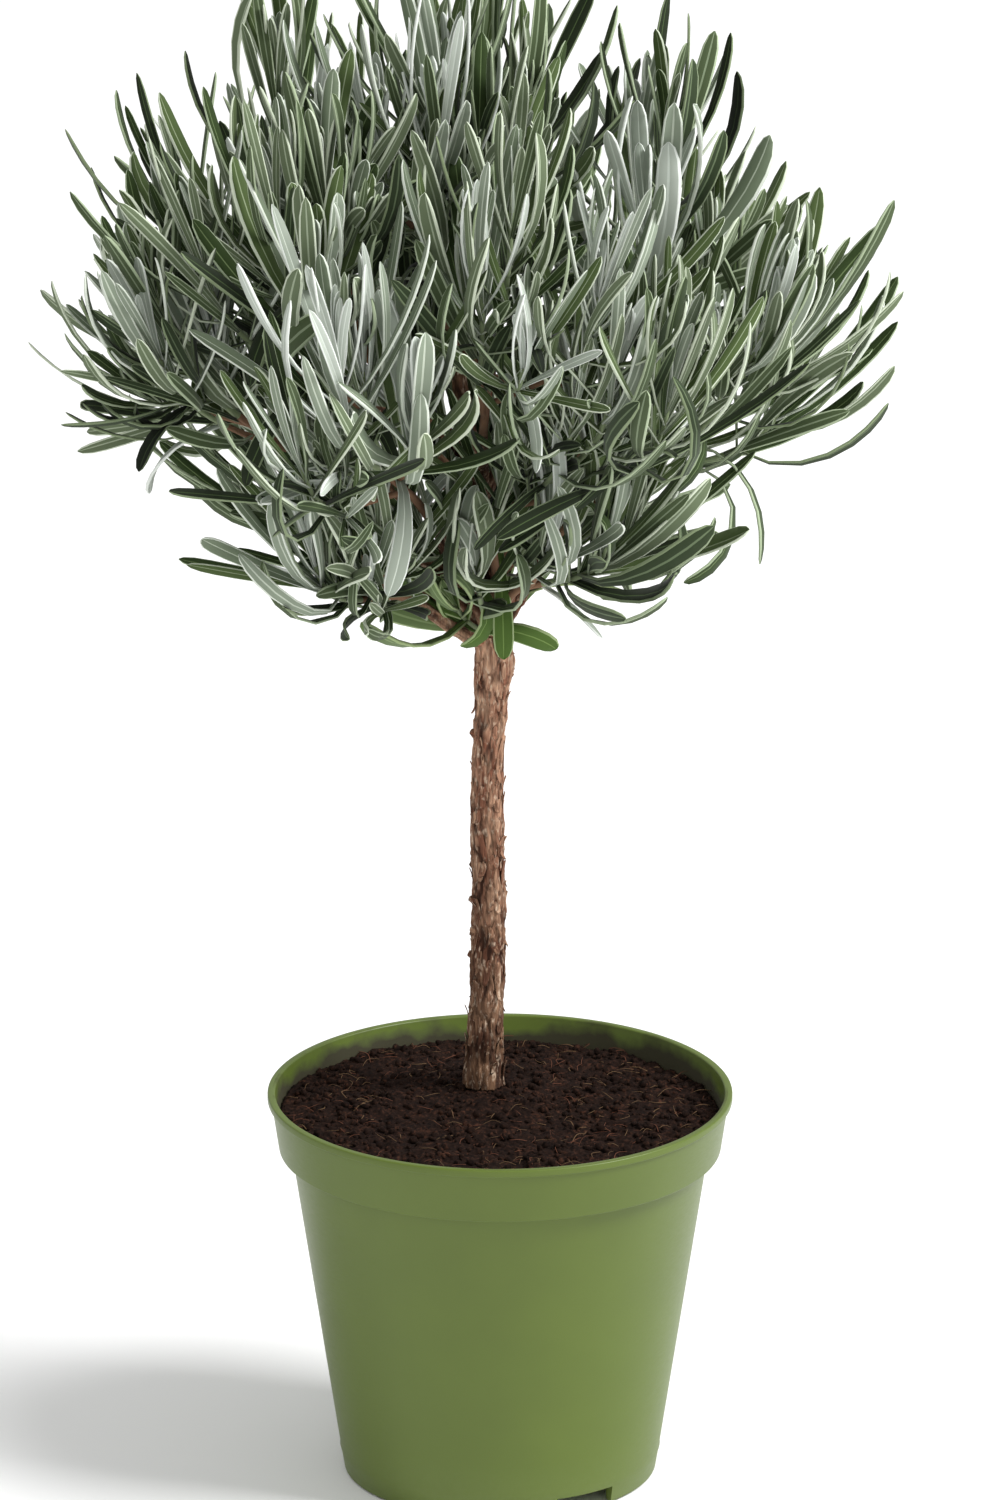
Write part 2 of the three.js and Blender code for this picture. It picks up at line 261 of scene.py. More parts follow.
@dataclass(frozen=True)
class PotPlastic:
    """Satin moulded plastic, faintly mottled, darker in ragged brown patches on the inner wall just above the
    peat, and with a dusty foot.
    """

    body: tuple = linear(89, 106, 35)
    shade: tuple = linear(82, 98, 32)
    dust: tuple = linear(116, 126, 84)
    inner_dark: tuple = linear(44, 36, 26)
    dust_fade: float = 45.0
    inner_dark_height: float = 6.5 * MM
    most_inner_dark: float = 0.9

    def material(self, pot: "NurseryPot", soil_level: float) -> bpy.types.Material:
        """Builds the material.

        Args:
            pot: the pot; its axis, collar and wall say where its inner face is.
            soil_level: height of the peat, above which the inner wall's dark patches fade out.

        Returns:
            The material.
        """
        graph = Graph("pot_plastic")
        cloud = graph.noise(38.0, 4.0)
        tint = graph.mix(cloud, self.body, self.shade)
        x, y, height = graph.separated()
        axis = pot.axis
        near_foot = (1.0 - (height - axis.z) * self.dust_fade).at_least(0.0)
        dusty = near_foot * graph.noise(420.0, 2.0) * 0.3
        away = graph.maths("SQRT", (x - axis.x) * (x - axis.x) + (y - axis.y) * (y - axis.y), 0.0)
        rise = (pot.collar_top_radius - pot.collar_foot_radius) / (pot.collar_height - pot.lip_height)
        above = height - (axis.z + pot.shoulder)
        inner_face = above * rise + (pot.collar_foot_radius - 0.5 * pot.wall)
        within = graph.maths("LESS_THAN", away, inner_face)
        inside = within * graph.maths("GREATER_THAN", above, 0.5 * pot.wall)
        # Darker brown ragged patches on the inner wall, strongest at the peat and fading out a few
        # millimetres above it.
        fading = (1.0 - (height - soil_level) * (1.0 / self.inner_dark_height)).at_least(0.0)
        ragged = fading * 1.3 + (graph.noise(60.0, 7.0) - 0.56) * 3.2
        inner_darkened = inside * ragged.at_least(0.0).at_most(self.most_inner_dark)
        scuffs = graph.noise(260.0, 5.0, graph.stretched((1.0, 1.0, 7.0)))
        graph.set(
            Base_Color=graph.mix(inner_darkened, graph.mix(dusty, tint, self.dust), self.inner_dark),
            Roughness=0.34 + scuffs * 0.14 + dusty * 0.4 + inner_darkened * 0.4,
            Specular_IOR_Level=0.4,
        )
        graph.bump(graph.noise(900.0, 3.0), 0.12, 0.00012)
        return graph.material


@dataclass(frozen=True)
class PeatFinish:
    """Moist peat: nearly black, with red-brown crumbs."""

    dark: tuple = linear(17, 10, 8)
    middle: tuple = linear(34, 22, 17)
    rusty: tuple = linear(72, 45, 33)

    def material(self) -> bpy.types.Material:
        """Builds the material.

        Returns:
            The material.
        """
        graph = Graph("peat")
        grain = graph.noise(700.0, 6.0)
        patches = graph.noise(110.0, 3.0)
        tone = grain * 0.7 + patches * 0.3
        colour = graph.ramp(tone, [(0.36, self.dark), (0.54, self.middle), (0.72, self.rusty)])
        graph.set(Base_Color=colour, Roughness=0.95, Specular_IOR_Level=0.08)
        graph.bump(grain, 0.6, 0.0006)
        return graph.material


@dataclass(frozen=True)
class BarkFinish:
    """Shredded bark: dark and dull low down, warm under the head, with painted shade darkest in the cracks.
    """

    # crack: painted shade, laid in the relief's cracks and between the fibres.
    crack: tuple = linear(46, 28, 20)
    low_dark: tuple = linear(78, 50, 36)
    low_light: tuple = linear(138, 104, 78)
    high_dark: tuple = linear(160, 104, 80)
    high_light: tuple = linear(226, 180, 148)
    pale: tuple = linear(214, 190, 166)
    dulling: float = 30.0 * MM

    def material(self, low: float, high: float) -> bpy.types.Material:
        """Builds the material.

        Args:
            low: height of the ground.
            high: height of the fork.

        Returns:
            The material.
        """
        graph = Graph("bark")
        height = graph.separated()[2]
        rise = ((height - low) * (1.0 / (high - low))).at_most(1.0)
        above = ((height - high) * (1.0 / self.dulling)).at_least(0.0).at_most(1.0)
        fresh = (rise - above * 0.85).at_least(0.0)
        fibres = graph.noise(1500.0, 6.0, graph.stretched((1.0, 1.0, 0.14)))
        specks = graph.noise(700.0, 4.0, graph.stretched((1.0, 1.0, 0.45)))
        plate = graph.attribute("plate")
        dull = graph.mix(plate, self.low_dark, self.low_light)
        warm = graph.mix(plate, self.high_dark, self.high_light)
        wood = graph.mix(fresh, dull, warm)
        # Darker between the raised fibres, where the bump sinks: painted shade.
        shaded = graph.mix((fibres - 0.34) * 2.6, graph.mix(0.6, wood, self.crack), wood)
        torn = (specks - 0.55).at_least(0.0) * 5.0
        # Darkest where the relief sinks into cracks: painted shade.
        colour = graph.mix(graph.attribute("crack") * 0.85, graph.mix(torn, shaded, self.pale), self.crack)
        graph.set(Base_Color=colour, Roughness=0.9, Specular_IOR_Level=0.2)
        graph.bump(fibres, 0.8, 0.0006)
        return graph.material


@dataclass(frozen=True)
class PlainFinish:
    """One plain colour, for the floor and for small parts that are dealt their colours."""

    name: str
    colour: tuple
    roughness: float = 0.8
    sheen: float = 0.0
    specular: float = 0.22

    def material(self) -> bpy.types.Material:
        """Builds the material.

        Returns:
            The material.
        """
        graph = Graph(self.name)
        graph.set(
            Base_Color=self.colour,
            Roughness=self.roughness,
            Specular_IOR_Level=self.specular,
            Sheen_Weight=self.sheen,
            Sheen_Roughness=0.5,
        )
        return graph.material


class LeafFace(IntEnum):
    """The parts of a leaf that have a colour of their own."""

    BLADE = 0
    MARGIN = 1
    MIDRIB = 2
    UNDERSIDE = 3
    KEEL = 4


class Tint(Enum):
    """A leaf's age and light: blade, margin, midrib, underside and keel colours."""

    SAGE = ((75, 92, 51), (200, 209, 187), (146, 159, 126), (100, 113, 85), (158, 170, 144))
    DEEP = ((28, 39, 17), (126, 140, 107), (72, 90, 53), (46, 59, 35), (96, 111, 82))
    MOSS = ((47, 64, 28), (162, 176, 145), (104, 122, 80), (70, 84, 54), (126, 140, 111))
    MIST = ((108, 121, 98), (214, 221, 208), (178, 188, 168), (134, 145, 127), (186, 195, 178))
    SILVER = ((156, 165, 152), (228, 233, 226), (202, 210, 198), (180, 188, 177), (208, 216, 206))
    SHADE = ((18, 26, 12), (82, 94, 68), (46, 60, 33), (30, 40, 23), (62, 74, 52))
    FRESH = ((78, 105, 44), (152, 170, 120), (112, 138, 72), (96, 117, 71), (128, 148, 99))


# ---------------------------------------------------------------- mesh tools


def added(name: str, data: bpy.types.ID) -> bpy.types.Object:
    """Makes an object of a mesh, a light or a camera, and adds it to the scene.

    Args:
        name: the object's name.
        data: what it shows.

    Returns:
        The new object, at the origin.
    """
    made = bpy.data.objects.new(name, data)
    bpy.context.scene.collection.objects.link(made)
    return made


def piece_from(name: str, mesh: bmesh.types.BMesh, materials: list[bpy.types.Material]) -> bpy.types.Object:
    """Turns a bmesh into a piece with smooth faces, in place at the origin.

    Args:
        name: the piece's name.
        mesh: the bmesh, which is freed.
        materials: its material slots, in order.

    Returns:
        The new object.
    """
    data = bpy.data.meshes.new(name)
    mesh.to_mesh(data)
    mesh.free()
    for material in materials:
        data.materials.append(material)
    data.shade_smooth()
    return added(name, data)


def piece_from_arrays(name: str, points: np.ndarray, faces: np.ndarray, slots: np.ndarray,
                      materials: list[bpy.types.Material]) -> bpy.types.Object:
    """Joins copies of a template into one piece.

    Args:
        name: the piece's name.
        points: (copies, vertices, 3) places.
        faces: (faces, 4) corners of one copy; a triangle repeats its last corner.
        slots: (copies, faces) material slot of each face.
        materials: the material slots, in order.

    Returns:
        The new object.
    """
    copies, count, _ = points.shape
    corners = faces[None] + (np.arange(copies) * count)[:, None, None]
    corners = corners.reshape(-1, 4)
    triangle = corners[:, 2] == corners[:, 3]
    sizes = np.where(triangle, 3, 4)
    keep = np.ones(corners.shape, bool)
    keep[triangle, 3] = False
    starts = np.concatenate(([0], np.cumsum(sizes)[:-1]))
    data = bpy.data.meshes.new(name)
    data.vertices.add(copies * count)
    data.vertices.foreach_set("co", points.reshape(-1).astype(np.float32))
    data.loops.add(int(sizes.sum()))
    data.loops.foreach_set("vertex_index", corners[keep].astype(np.int32))
    data.polygons.add(len(sizes))
    data.polygons.foreach_set("loop_start", starts.astype(np.int32))
    data.polygons.foreach_set("material_index", slots.reshape(-1).astype(np.int32))
    for material in materials:
        data.materials.append(material)
    data.update(calc_edges=True)
    data.validate()
    data.shade_smooth()
    return added(name, data)


def smoothstep(low: float, high: float, value: float) -> float:
    """0 below low, 1 above high, and a smooth step between."""
    share = min(max((value - low) / (high - low), 0.0), 1.0)
    return share * share * (3.0 - 2.0 * share)


def heading(azimuth: float, rise: float) -> Vector:
    """Direction from an azimuth and a slope in radians."""
    return Vector((math.cos(azimuth) * math.cos(rise), math.sin(azimuth) * math.cos(rise), math.sin(rise)))


def settle(piece: bpy.types.Object, slot: str, *nodes: str) -> None:
    """Fixes a piece to the plant, hides the frame's nodes that it stands for, and logs its triangles.

    Args:
        piece: the piece.
        slot: its material slot in the frame; not used.
        nodes: the frame's nodes that it stands for.
    """
    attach(piece, "root")
    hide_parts(*nodes)
    triangles = sum(len(face.vertices) - 2 for face in piece.data.polygons)
    LOG.info("%s: %d triangles", piece.name, triangles)


class Line:
    """A smooth line through points, with a radius at each, read by share of its length."""

    FINE = 48

    def __init__(self, points: list[Vector], radii: list[float]) -> None:
        """Lays a spline through the points and measures it.

        Args:
            points: the points, in order.
            radii: the radii at even shares of the length.
        """
        self.points = points
        self.radii = radii
        fine = [self._spline(i / self.FINE * (len(points) - 1)) for i in range(self.FINE + 1)]
        steps = [(b - a).length for a, b in zip(fine, fine[1:])]
        self.length = sum(steps)
        self.shares = np.concatenate(([0.0], np.cumsum(steps))) / self.length
        self.fine = np.array(fine)

    @classmethod
    def arching(cls, root: Vector, leave: Vector, tip: Vector, arrive: Vector, radii: list[float]) -> "Line":
        """A line that leaves its root along one direction and arrives at its tip along another.

        Args:
            root: where it starts.
            leave: the direction in which it starts.
            tip: where it ends.
            arrive: the direction in which it ends.
            radii: the radii at even shares of the length.

        Returns:
            The line.
        """
        span = (tip - root).length
        first = root + leave * span * 0.36
        second = tip - arrive * span * 0.40
        points = []
        for i in range(7):
            t = i / 6.0
            points.append(root * (1 - t) ** 3 + first * (3 * t * (1 - t) ** 2)
                          + second * (3 * t * t * (1 - t)) + tip * t ** 3)
        return cls(points, radii)

    def _spline(self, place: float) -> Vector:
        """A point of the Catmull-Rom spline.

        Args:
            place: where, counted in points from the first one.

        Returns:
            The point.
        """
        last = len(self.points) - 1
        index = min(int(place), last - 1)
        t = place - index
        b, c = self.points[index], self.points[index + 1]
        a = self.points[index - 1] if index > 0 else b * 2.0 - c
        d = self.points[index + 2] if index + 2 <= last else c * 2.0 - b
        return 0.5 * (b * 2.0 + (c - a) * t + (a * 2.0 - b * 5.0 + c * 4.0 - d) * t * t
                      + (b * 3.0 - a - c * 3.0 + d) * t * t * t)

    def at(self, share: float) -> Vector:
        """The point at a share of the length."""
        return Vector([float(np.interp(share, self.shares, self.fine[:, axis])) for axis in range(3)])

    def heading(self, share: float) -> Vector:
        """The direction of travel at a share of the length."""
        reach = 0.04
        return (self.at(min(share + reach, 1.0)) - self.at(max(share - reach, 0.0))).normalized()

    def frames(self, rows: int) -> tuple[np.ndarray, np.ndarray, np.ndarray, np.ndarray]:
        """Cuts the line at even shares, with directions that don't spin about it.

        Args:
            rows: how many stretches to cut it into.

        Returns:
            The cuts' centres, the two directions square to the line there, and its radii.
        """
        shares = [row / rows for row in range(rows + 1)]
        centres = [self.at(share) for share in shares]
        side = self.heading(0.0).orthogonal().normalized()
        sides, ups = [], []
        for share in shares:
            ahead = self.heading(share)
            side = (side - ahead * side.dot(ahead)).normalized()
            sides.append(side.copy())
            ups.append(ahead.cross(side))
        radii = np.interp(shares, np.linspace(0.0, 1.0, len(self.radii)), self.radii)
        return np.array(centres), np.array(sides), np.array(ups), radii


def tube_mesh(sides: int, rows: int) -> bmesh.types.BMesh:
    """Makes a closed tube of radius 1 that runs from 0 to 1 along Z.

    Args:
        sides: corners of its section.
        rows: stretches along it.

    Returns:
        The tube's bmesh.
    """
    mesh = bmesh.new()
    bmesh.ops.create_cone(mesh, cap_ends=True, cap_tris=True, segments=sides,
                          radius1=1.0, radius2=1.0, depth=1.0)
    bmesh.ops.translate(mesh, verts=mesh.verts, vec=(0.0, 0.0, 0.5))
    long_edges = [edge for edge in mesh.edges if abs(edge.verts[0].co.z - edge.verts[1].co.z) > 0.5]
    bmesh.ops.subdivide_edges(mesh, edges=long_edges, cuts=rows - 1, use_grid_fill=True)
    return mesh


@dataclass(frozen=True)
class Template:
    """A small mesh that is copied many times: its places, faces and the role of each face."""

    places: np.ndarray
    faces: np.ndarray
    roles: np.ndarray

    @classmethod
    def of(cls, mesh: bmesh.types.BMesh) -> "Template":
        """Reads a bmesh and frees it.

        Args:
            mesh: a bmesh of triangles and quads, whose material indices are the roles.

        Returns:
            The template.
        """
        mesh.verts.index_update()
        places = np.array([vert.co for vert in mesh.verts])
        corners = [[vert.index for vert in face.verts] for face in mesh.faces]
        faces = np.array([row if len(row) == 4 else row + row[-1:] for row in corners])
        roles = np.array([face.material_index for face in mesh.faces])
        mesh.free()
        return cls(places, faces, roles)

    @classmethod
    def tube(cls, sides: int, rows: int) -> "Template":
        """A closed tube of radius 1 that runs from 0 to 1 along Z."""
        return cls.of(tube_mesh(sides, rows))

    def along(self, line: Line, rows: int) -> np.ndarray:
        """Lays a tube template along a line.

        Args:
            line: the line.
            rows: the tube's stretches.

        Returns:
            The place of each of the template's vertices, in its own order.
        """
        centres, sides, ups, radii = line.frames(rows)
        row = np.rint(self.places[:, 2] * rows).astype(int)
        across = self.places[:, :2] * radii[row][:, None]
        return centres[row] + sides[row] * across[:, :1] + ups[row] * across[:, 1:]

    def copy_into(self, mesh: bmesh.types.BMesh, places: np.ndarray) -> list[bmesh.types.BMVert]:
        """Adds one copy of the template to a bmesh.

        Args:
            mesh: the bmesh.
            places: the place of each of the copy's vertices.

        Returns:
            The copy's vertices.
        """
        verts = [mesh.verts.new(place) for place in places]
        for face in self.faces:
            mesh.faces.new([verts[corner] for corner in dict.fromkeys(face)])
        return verts


# ---------------------------------------------------------------- pot and compost


@dataclass
class NurseryPot:
    """The green pot: a turned shell with a stepped collar, a rolled lip and a notched foot."""

    wall: float = 1.4 * MM
    foot_height: float = 6.5 * MM
    foot_width: float = 3.0 * MM
    foot_radius: float = 57.2 * MM
    body_radius: float = 58.3 * MM
    shoulder_radius: float = 76.4 * MM
    collar_height: float = 21.3 * MM
    collar_foot_radius: float = 80.8 * MM
    collar_top_radius: float = 83.6 * MM
    lip_height: float = 2.8 * MM
    ridge: float = 0.25 * MM
    notches: int = 2
    notch_azimuth: float = math.radians(-57.0)
    notch_width: float = 24.0 * MM
    drain_holes: int = 8
    drain_radius: float = 4.0 * MM
    drain_circle: float = 43.0 * MM
    rounding: float = 0.55 * MM
    corner_turn: float = math.radians(25.0)
    sharp_turn: float = math.radians(32.0)
    soil_drop: float = 4.0 * MM
    steps: int = 192

    def __post_init__(self) -> None:
        """Reads the pot's axis, height and lip from the frame."""
        low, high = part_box("pot")
        self.axis = Vector(((low.x + high.x) / 2.0, (low.y + high.y) / 2.0, low.z))
        self.height = high.z - low.z
        self.lip_radius = (high.x - low.x) / 2.0
        self.shoulder = self.height - self.collar_height

    def body_at(self, height: float) -> float:
        """Radius of the body's outer face at a height."""
        share = (height - self.foot_height) / (self.shoulder - self.foot_height)
        return self.body_radius + (self.shoulder_radius - self.body_radius) * share

    def profile(self) -> list[tuple[float, float]]:
        """The shell's outline, from the underside of its floor round to the top of it.

        Returns:
            The radius and height of each corner.
        """
        floor = self.foot_height + self.wall
        ring = self.foot_height + 2.0 * MM
        return [
            (0.0, self.foot_height),
            (self.foot_radius - self.foot_width, self.foot_height),
            (self.foot_radius - self.foot_width, 0.0),
            (self.foot_radius, 0.0),
            (self.body_radius, self.foot_height),
            (self.body_at(ring) + self.ridge, ring),
            (self.body_at(ring + self.wall), ring + self.wall),
            (self.shoulder_radius, self.shoulder),
            (self.collar_foot_radius, self.shoulder),
            (self.collar_top_radius, self.height - self.lip_height),
            (self.lip_radius, self.height - self.lip_height),
            (self.lip_radius, self.height),
            (self.collar_top_radius - self.wall, self.height),
            (self.collar_foot_radius - self.wall, self.shoulder + self.wall),
            (self.shoulder_radius - self.wall, self.shoulder + self.wall),
            (self.body_at(floor) - self.wall, floor),
            (0.0, floor),
        ]

    def shell(self) -> bmesh.types.BMesh:
        """Turns the shell and rounds its corners.

        Returns:
            The shell's bmesh.
        """
        mesh = bmesh.new()
        corners = [mesh.verts.new((radius, 0.0, height)) for radius, height in self.profile()]
        edges = [mesh.edges.new(pair) for pair in zip(corners, corners[1:])]
        bmesh.ops.spin(mesh, geom=corners + edges, cent=(0, 0, 0), axis=(0, 0, 1), dvec=(0, 0, 0),
                       angle=math.tau, steps=self.steps, use_merge=True, use_duplicate=False)
        bmesh.ops.remove_doubles(mesh, verts=mesh.verts, dist=1e-6)
        bmesh.ops.recalc_face_normals(mesh, faces=mesh.faces)
        turned = [
            edge for edge in mesh.edges
            if len(edge.link_faces) == 2 and edge.calc_face_angle() > self.corner_turn
            and abs(edge.verts[0].co.z - edge.verts[1].co.z) < 1e-6
        ]
        bmesh.ops.bevel(mesh, geom=turned, offset=self.rounding, segments=3, profile=0.5,
                        affect="EDGES", material=-1, clamp_overlap=True)
        bmesh.ops.translate(mesh, verts=mesh.verts, vec=self.axis)
        return mesh

    def cutter(self) -> bpy.types.Object:
        """Makes the blocks and pegs that cut the foot's notches and the floor's drain holes.

        Returns:
            The object that holds them all.
        """
        mesh = bmesh.new()
        for index in range(self.notches):
            turn = Matrix.Rotation(self.notch_azimuth + math.tau / self.notches * index, 4, "Z")
            size = Matrix.Diagonal((4.0 * self.foot_width, self.notch_width, 2.0 * self.foot_height, 1.0))
            out = Matrix.Translation((self.foot_radius, 0.0, 0.0))
            bmesh.ops.create_cube(mesh, size=1.0, matrix=Matrix.Translation(self.axis) @ turn @ out @ size)
        for index in range(self.drain_holes):
            turn = math.tau * (index + 0.5) / self.drain_holes
            place = self.axis + heading(turn, 0.0) * self.drain_circle + UP * self.foot_height
            bmesh.ops.create_cone(mesh, cap_ends=True, segments=24, radius1=self.drain_radius,
                                  radius2=self.drain_radius, depth=6.0 * self.wall,
                                  matrix=Matrix.Translation(place))
        return piece_from("cutter", mesh, [])

    def build(self) -> None:
        """Makes the pot and puts it in place of the frame's plain one."""
        soil_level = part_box("compost")[1].z - self.soil_drop
        plastic = PotPlastic().material(self, soil_level)
        pot = piece_from("nursery_pot", self.shell(), [plastic])
        cutter = self.cutter()
        cut = pot.modifiers.new("notches", "BOOLEAN")
        cut.operation = "DIFFERENCE"
        cut.solver = "EXACT"
        cut.object = cutter
        bpy.context.view_layer.update()
        graph = bpy.context.evaluated_depsgraph_get()
        finished = bpy.data.meshes.new_from_object(pot.evaluated_get(graph))
        pot.modifiers.clear()
        pot.data = finished
        bpy.data.objects.remove(cutter)
        finished.shade_smooth()
        finished.set_sharp_from_angle(angle=self.sharp_turn)
        settle(pot, "pot_plastic", "pot")


@dataclass
class Compost:
    """The peat in the pot: a crumbly surface that rises towards the stem, with clods and fibres on it."""

    pot: NurseryPot
    stem_foot: Vector
    mound: float = 3.6 * MM
    mound_radius: float = 62.0 * MM
    cells: int = 230
    clods: int = 1500
    clod_kinds: int = 12
    fibres: int = 300
    fibre_rows: int = 6
    seed: int = 5

    def __post_init__(self) -> None:
        """Reads the compost's levels and width from the frame."""
        low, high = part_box("compost")
        self.floor = low.z
        self.level = high.z - self.mound
        self.radius = (high.x - low.x) / 2.0
        self.middle = Vector(((low.x + high.x) / 2.0, (low.y + high.y) / 2.0, 0.0))

    def height_at(self, x: float, y: float) -> float:
        """Height of the crumbly surface, which sinks a little towards the back right.

        Args:
            x: the point's place to the right.
            y: its place to the back.

        Returns:
            The height.
        """
        away = math.hypot(x - self.stem_foot.x, y - self.stem_foot.y)
        rise = self.mound * (1.0 - smoothstep(0.0, self.mound_radius, away))
        place = Vector((x, y, 0.0))
        swell = noise.noise(place * 38.0) * 1.6 * MM
        lumps = noise.fractal(place * 150.0, 0.8, 2.1, 3) * 0.75 * MM
        clods = noise.voronoi(place * 330.0)[0][0]
        grains = noise.voronoi(place * 760.0 + Vector((3.1, 7.7, 1.3)))[0][0]
        crumbly = (0.55 - clods) * 1.5 * MM + (0.5 - grains) * 0.9 * MM
        sink = 1.2 * MM * smoothstep(0.6, 1.0, (x - self.middle.x + y - self.middle.y) / self.radius)
        return self.level + rise - 0.4 * MM + swell + lumps + crumbly - sink

    def bed(self) -> bmesh.types.BMesh:
        """Makes the bed itself: a fine round grid with its sides drawn down inside the pot.

        Returns:
            The bed's bmesh.
        """
        mesh = bmesh.new()
        bmesh.ops.create_grid(mesh, x_segments=self.cells, y_segments=self.cells, size=1.0)
        for vert in mesh.verts:
            x, y = vert.co.x, vert.co.y
            vert.co.x = self.middle.x + x * math.sqrt(1.0 - y * y / 2.0) * self.radius
            vert.co.y = self.middle.y + y * math.sqrt(1.0 - x * x / 2.0) * self.radius
        rim = [edge for edge in mesh.edges if edge.is_boundary]
        clearance = self.pot.wall + 0.35 * MM
        ledge = self.pot.shoulder + clearance
        stages = [
            (self.pot.collar_foot_radius - clearance, ledge),
            (self.pot.shoulder_radius - clearance, ledge),
            (self.pot.body_at(self.floor) - clearance, self.floor),
        ]
        for vert in mesh.verts:
            vert.co.z = self.height_at(vert.co.x, vert.co.y)
        for radius, height in stages:
            grown = bmesh.ops.extrude_edge_only(mesh, edges=rim)["geom"]
            rim = [item for item in grown if isinstance(item, bmesh.types.BMEdge)]
            for vert in {vert for edge in rim for vert in edge.verts}:
                out = Vector((vert.co.x, vert.co.y, 0.0)) - self.middle
                vert.co = self.middle + out.normalized() * radius + UP * height
        bmesh.ops.contextual_create(mesh, geom=rim)
        bmesh.ops.recalc_face_normals(mesh, faces=mesh.faces)
        return mesh

    def scatter(self, random: np.random.Generator, count: int) -> list[Vector]:
        """Deals places out evenly over the surface's disc.

        Args:
            random: the source of the draws.
            count: how many.

        Returns:
            The places.
        """
        places = []
        for _ in range(count):
            out = self.radius * 0.985 * math.sqrt(random.uniform())
            place = self.middle + heading(random.uniform(0.0, math.tau), 0.0) * out
            places.append(Vector((place.x, place.y, self.height_at(place.x, place.y))))
        return places

    def clod_piece(self, random: np.random.Generator, material: bpy.types.Material) -> bpy.types.Object:
        """Makes the loose clods: small balls, squashed and roughened.

        Args:
            random: the source of the draws.
            material: the peat.

        Returns:
            The piece.
        """
        mesh = bmesh.new()
        bmesh.ops.create_icosphere(mesh, subdivisions=2, radius=1.0)
        ball = Template.of(mesh)
        shifts = [Vector((kind * 9.0, 0.0, 0.0)) for kind in range(self.clod_kinds)]
        rough = np.array([
            [1.0 + 0.35 * noise.noise(Vector(point) * 1.7 + shift) for point in ball.places]
            for shift in shifts
        ])
        copies = []
        for place in self.scatter(random, self.clods):
            size = random.uniform(0.45, 1.0) ** 2 * 1.9 * MM
            squash = np.array([1.0, random.uniform(0.6, 1.0), random.uniform(0.5, 0.9)])
            turn = np.array(Quaternion(random.normal(size=4)).normalized().to_matrix())
            shape = ball.places * rough[random.integers(self.clod_kinds)][:, None] * squash * size
            copies.append(shape @ turn.T + np.array(place) + (0.0, 0.0, 0.2 * size))
        slots = np.zeros((len(copies), len(ball.faces)), int)
        return piece_from_arrays("compost_clods", np.array(copies), ball.faces, slots, [material])

    def fibre_piece(self, random: np.random.Generator) -> bpy.types.Object:
        """Makes the loose fibres: thin red-brown threads that lie on the clods.

        Args:
            random: the source of the draws.

        Returns:
            The piece.
        """
        thread = Template.tube(4, self.fibre_rows)
        copies = []
        for place in self.scatter(random, self.fibres):
            run = heading(random.uniform(0.0, math.tau), random.uniform(-0.15, 0.35))
            length = random.uniform(3.0, 9.0) * MM
            bow = run.cross(UP) * random.uniform(-0.3, 0.3) * length + UP * random.uniform(0.0, 0.2) * length
            points = [place - run * length / 2.0, place + bow, place + run * length / 2.0]
            points = [point + UP * 0.5 * MM for point in points]
            width = random.uniform(0.08, 0.17) * MM
            line = Line(points, [width, width, width * 0.5])
            copies.append(thread.along(line, self.fibre_rows))
        slots = np.repeat(random.integers(0, 2, len(copies))[:, None], len(thread.faces), 1)
        materials = [
            PlainFinish("fibre_rust", linear(96, 58, 42)).material(),
            PlainFinish("fibre_straw", linear(104, 80, 56)).material(),
        ]
        return piece_from_arrays("compost_fibres", np.array(copies), thread.faces, slots, materials)

    def build(self) -> None:
        """Makes the bed, its clods and its fibres."""
        random = np.random.default_rng(self.seed)
        peat = PeatFinish().material()
        settle(piece_from("compost_bed", self.bed(), [peat]), "peat_compost", "compost")
        settle(self.clod_piece(random, peat), "peat_compost", "compost")
        settle(self.fibre_piece(random), "peat_compost", "compost")


# ---------------------------------------------------------------- wood


def node_vertices(node: str) -> list[Vector]:
    """The corners of a node of the frame."""
    return [vert.co.copy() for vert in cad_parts[node].data.vertices]


def mean(places: list[Vector]) -> Vector:
    """The middle of some places."""
    return sum(places, Vector()) / len(places)


def read_limb(node: str, near: Vector, count: int) -> tuple[list[Vector], list[float]]:
    """Centres and radii of a limb of the frame, cut square to the line from its root to its tip.

    Args:
        node: the limb's node.
        near: a point on the wood that bears it, which tells its root from its tip.
        count: how many sections.

    Returns:
        The centres and the radii, from the root to the tip.
    """
    corners = sorted(node_vertices(node), key=lambda place: (place - near).length)
    root, tip = mean(corners[:6]), mean(corners[-6:])
    centres, radii = [], []
    for index in range(count):
        cut = bmesh.new()
        cut.from_mesh(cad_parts[node].data)
        bmesh.ops.remove_doubles(cut, verts=cut.verts, dist=1e-6)
        found = bmesh.ops.bisect_plane(
            cut, geom=cut.verts[:] + cut.edges[:] + cut.faces[:],
            plane_co=root.lerp(tip, 0.06 + 0.88 * index / (count - 1)), plane_no=(tip - root).normalized(),
        )["geom_cut"]
        ring = [item.co.copy() for item in found if isinstance(item, bmesh.types.BMVert)]
        cut.free()
        if len(ring) < 3:
            continue
        centre = mean(ring)
        centres.append(centre)
        radii.append(sum((place - centre).length for place in ring) / len(ring))
    return centres, radii


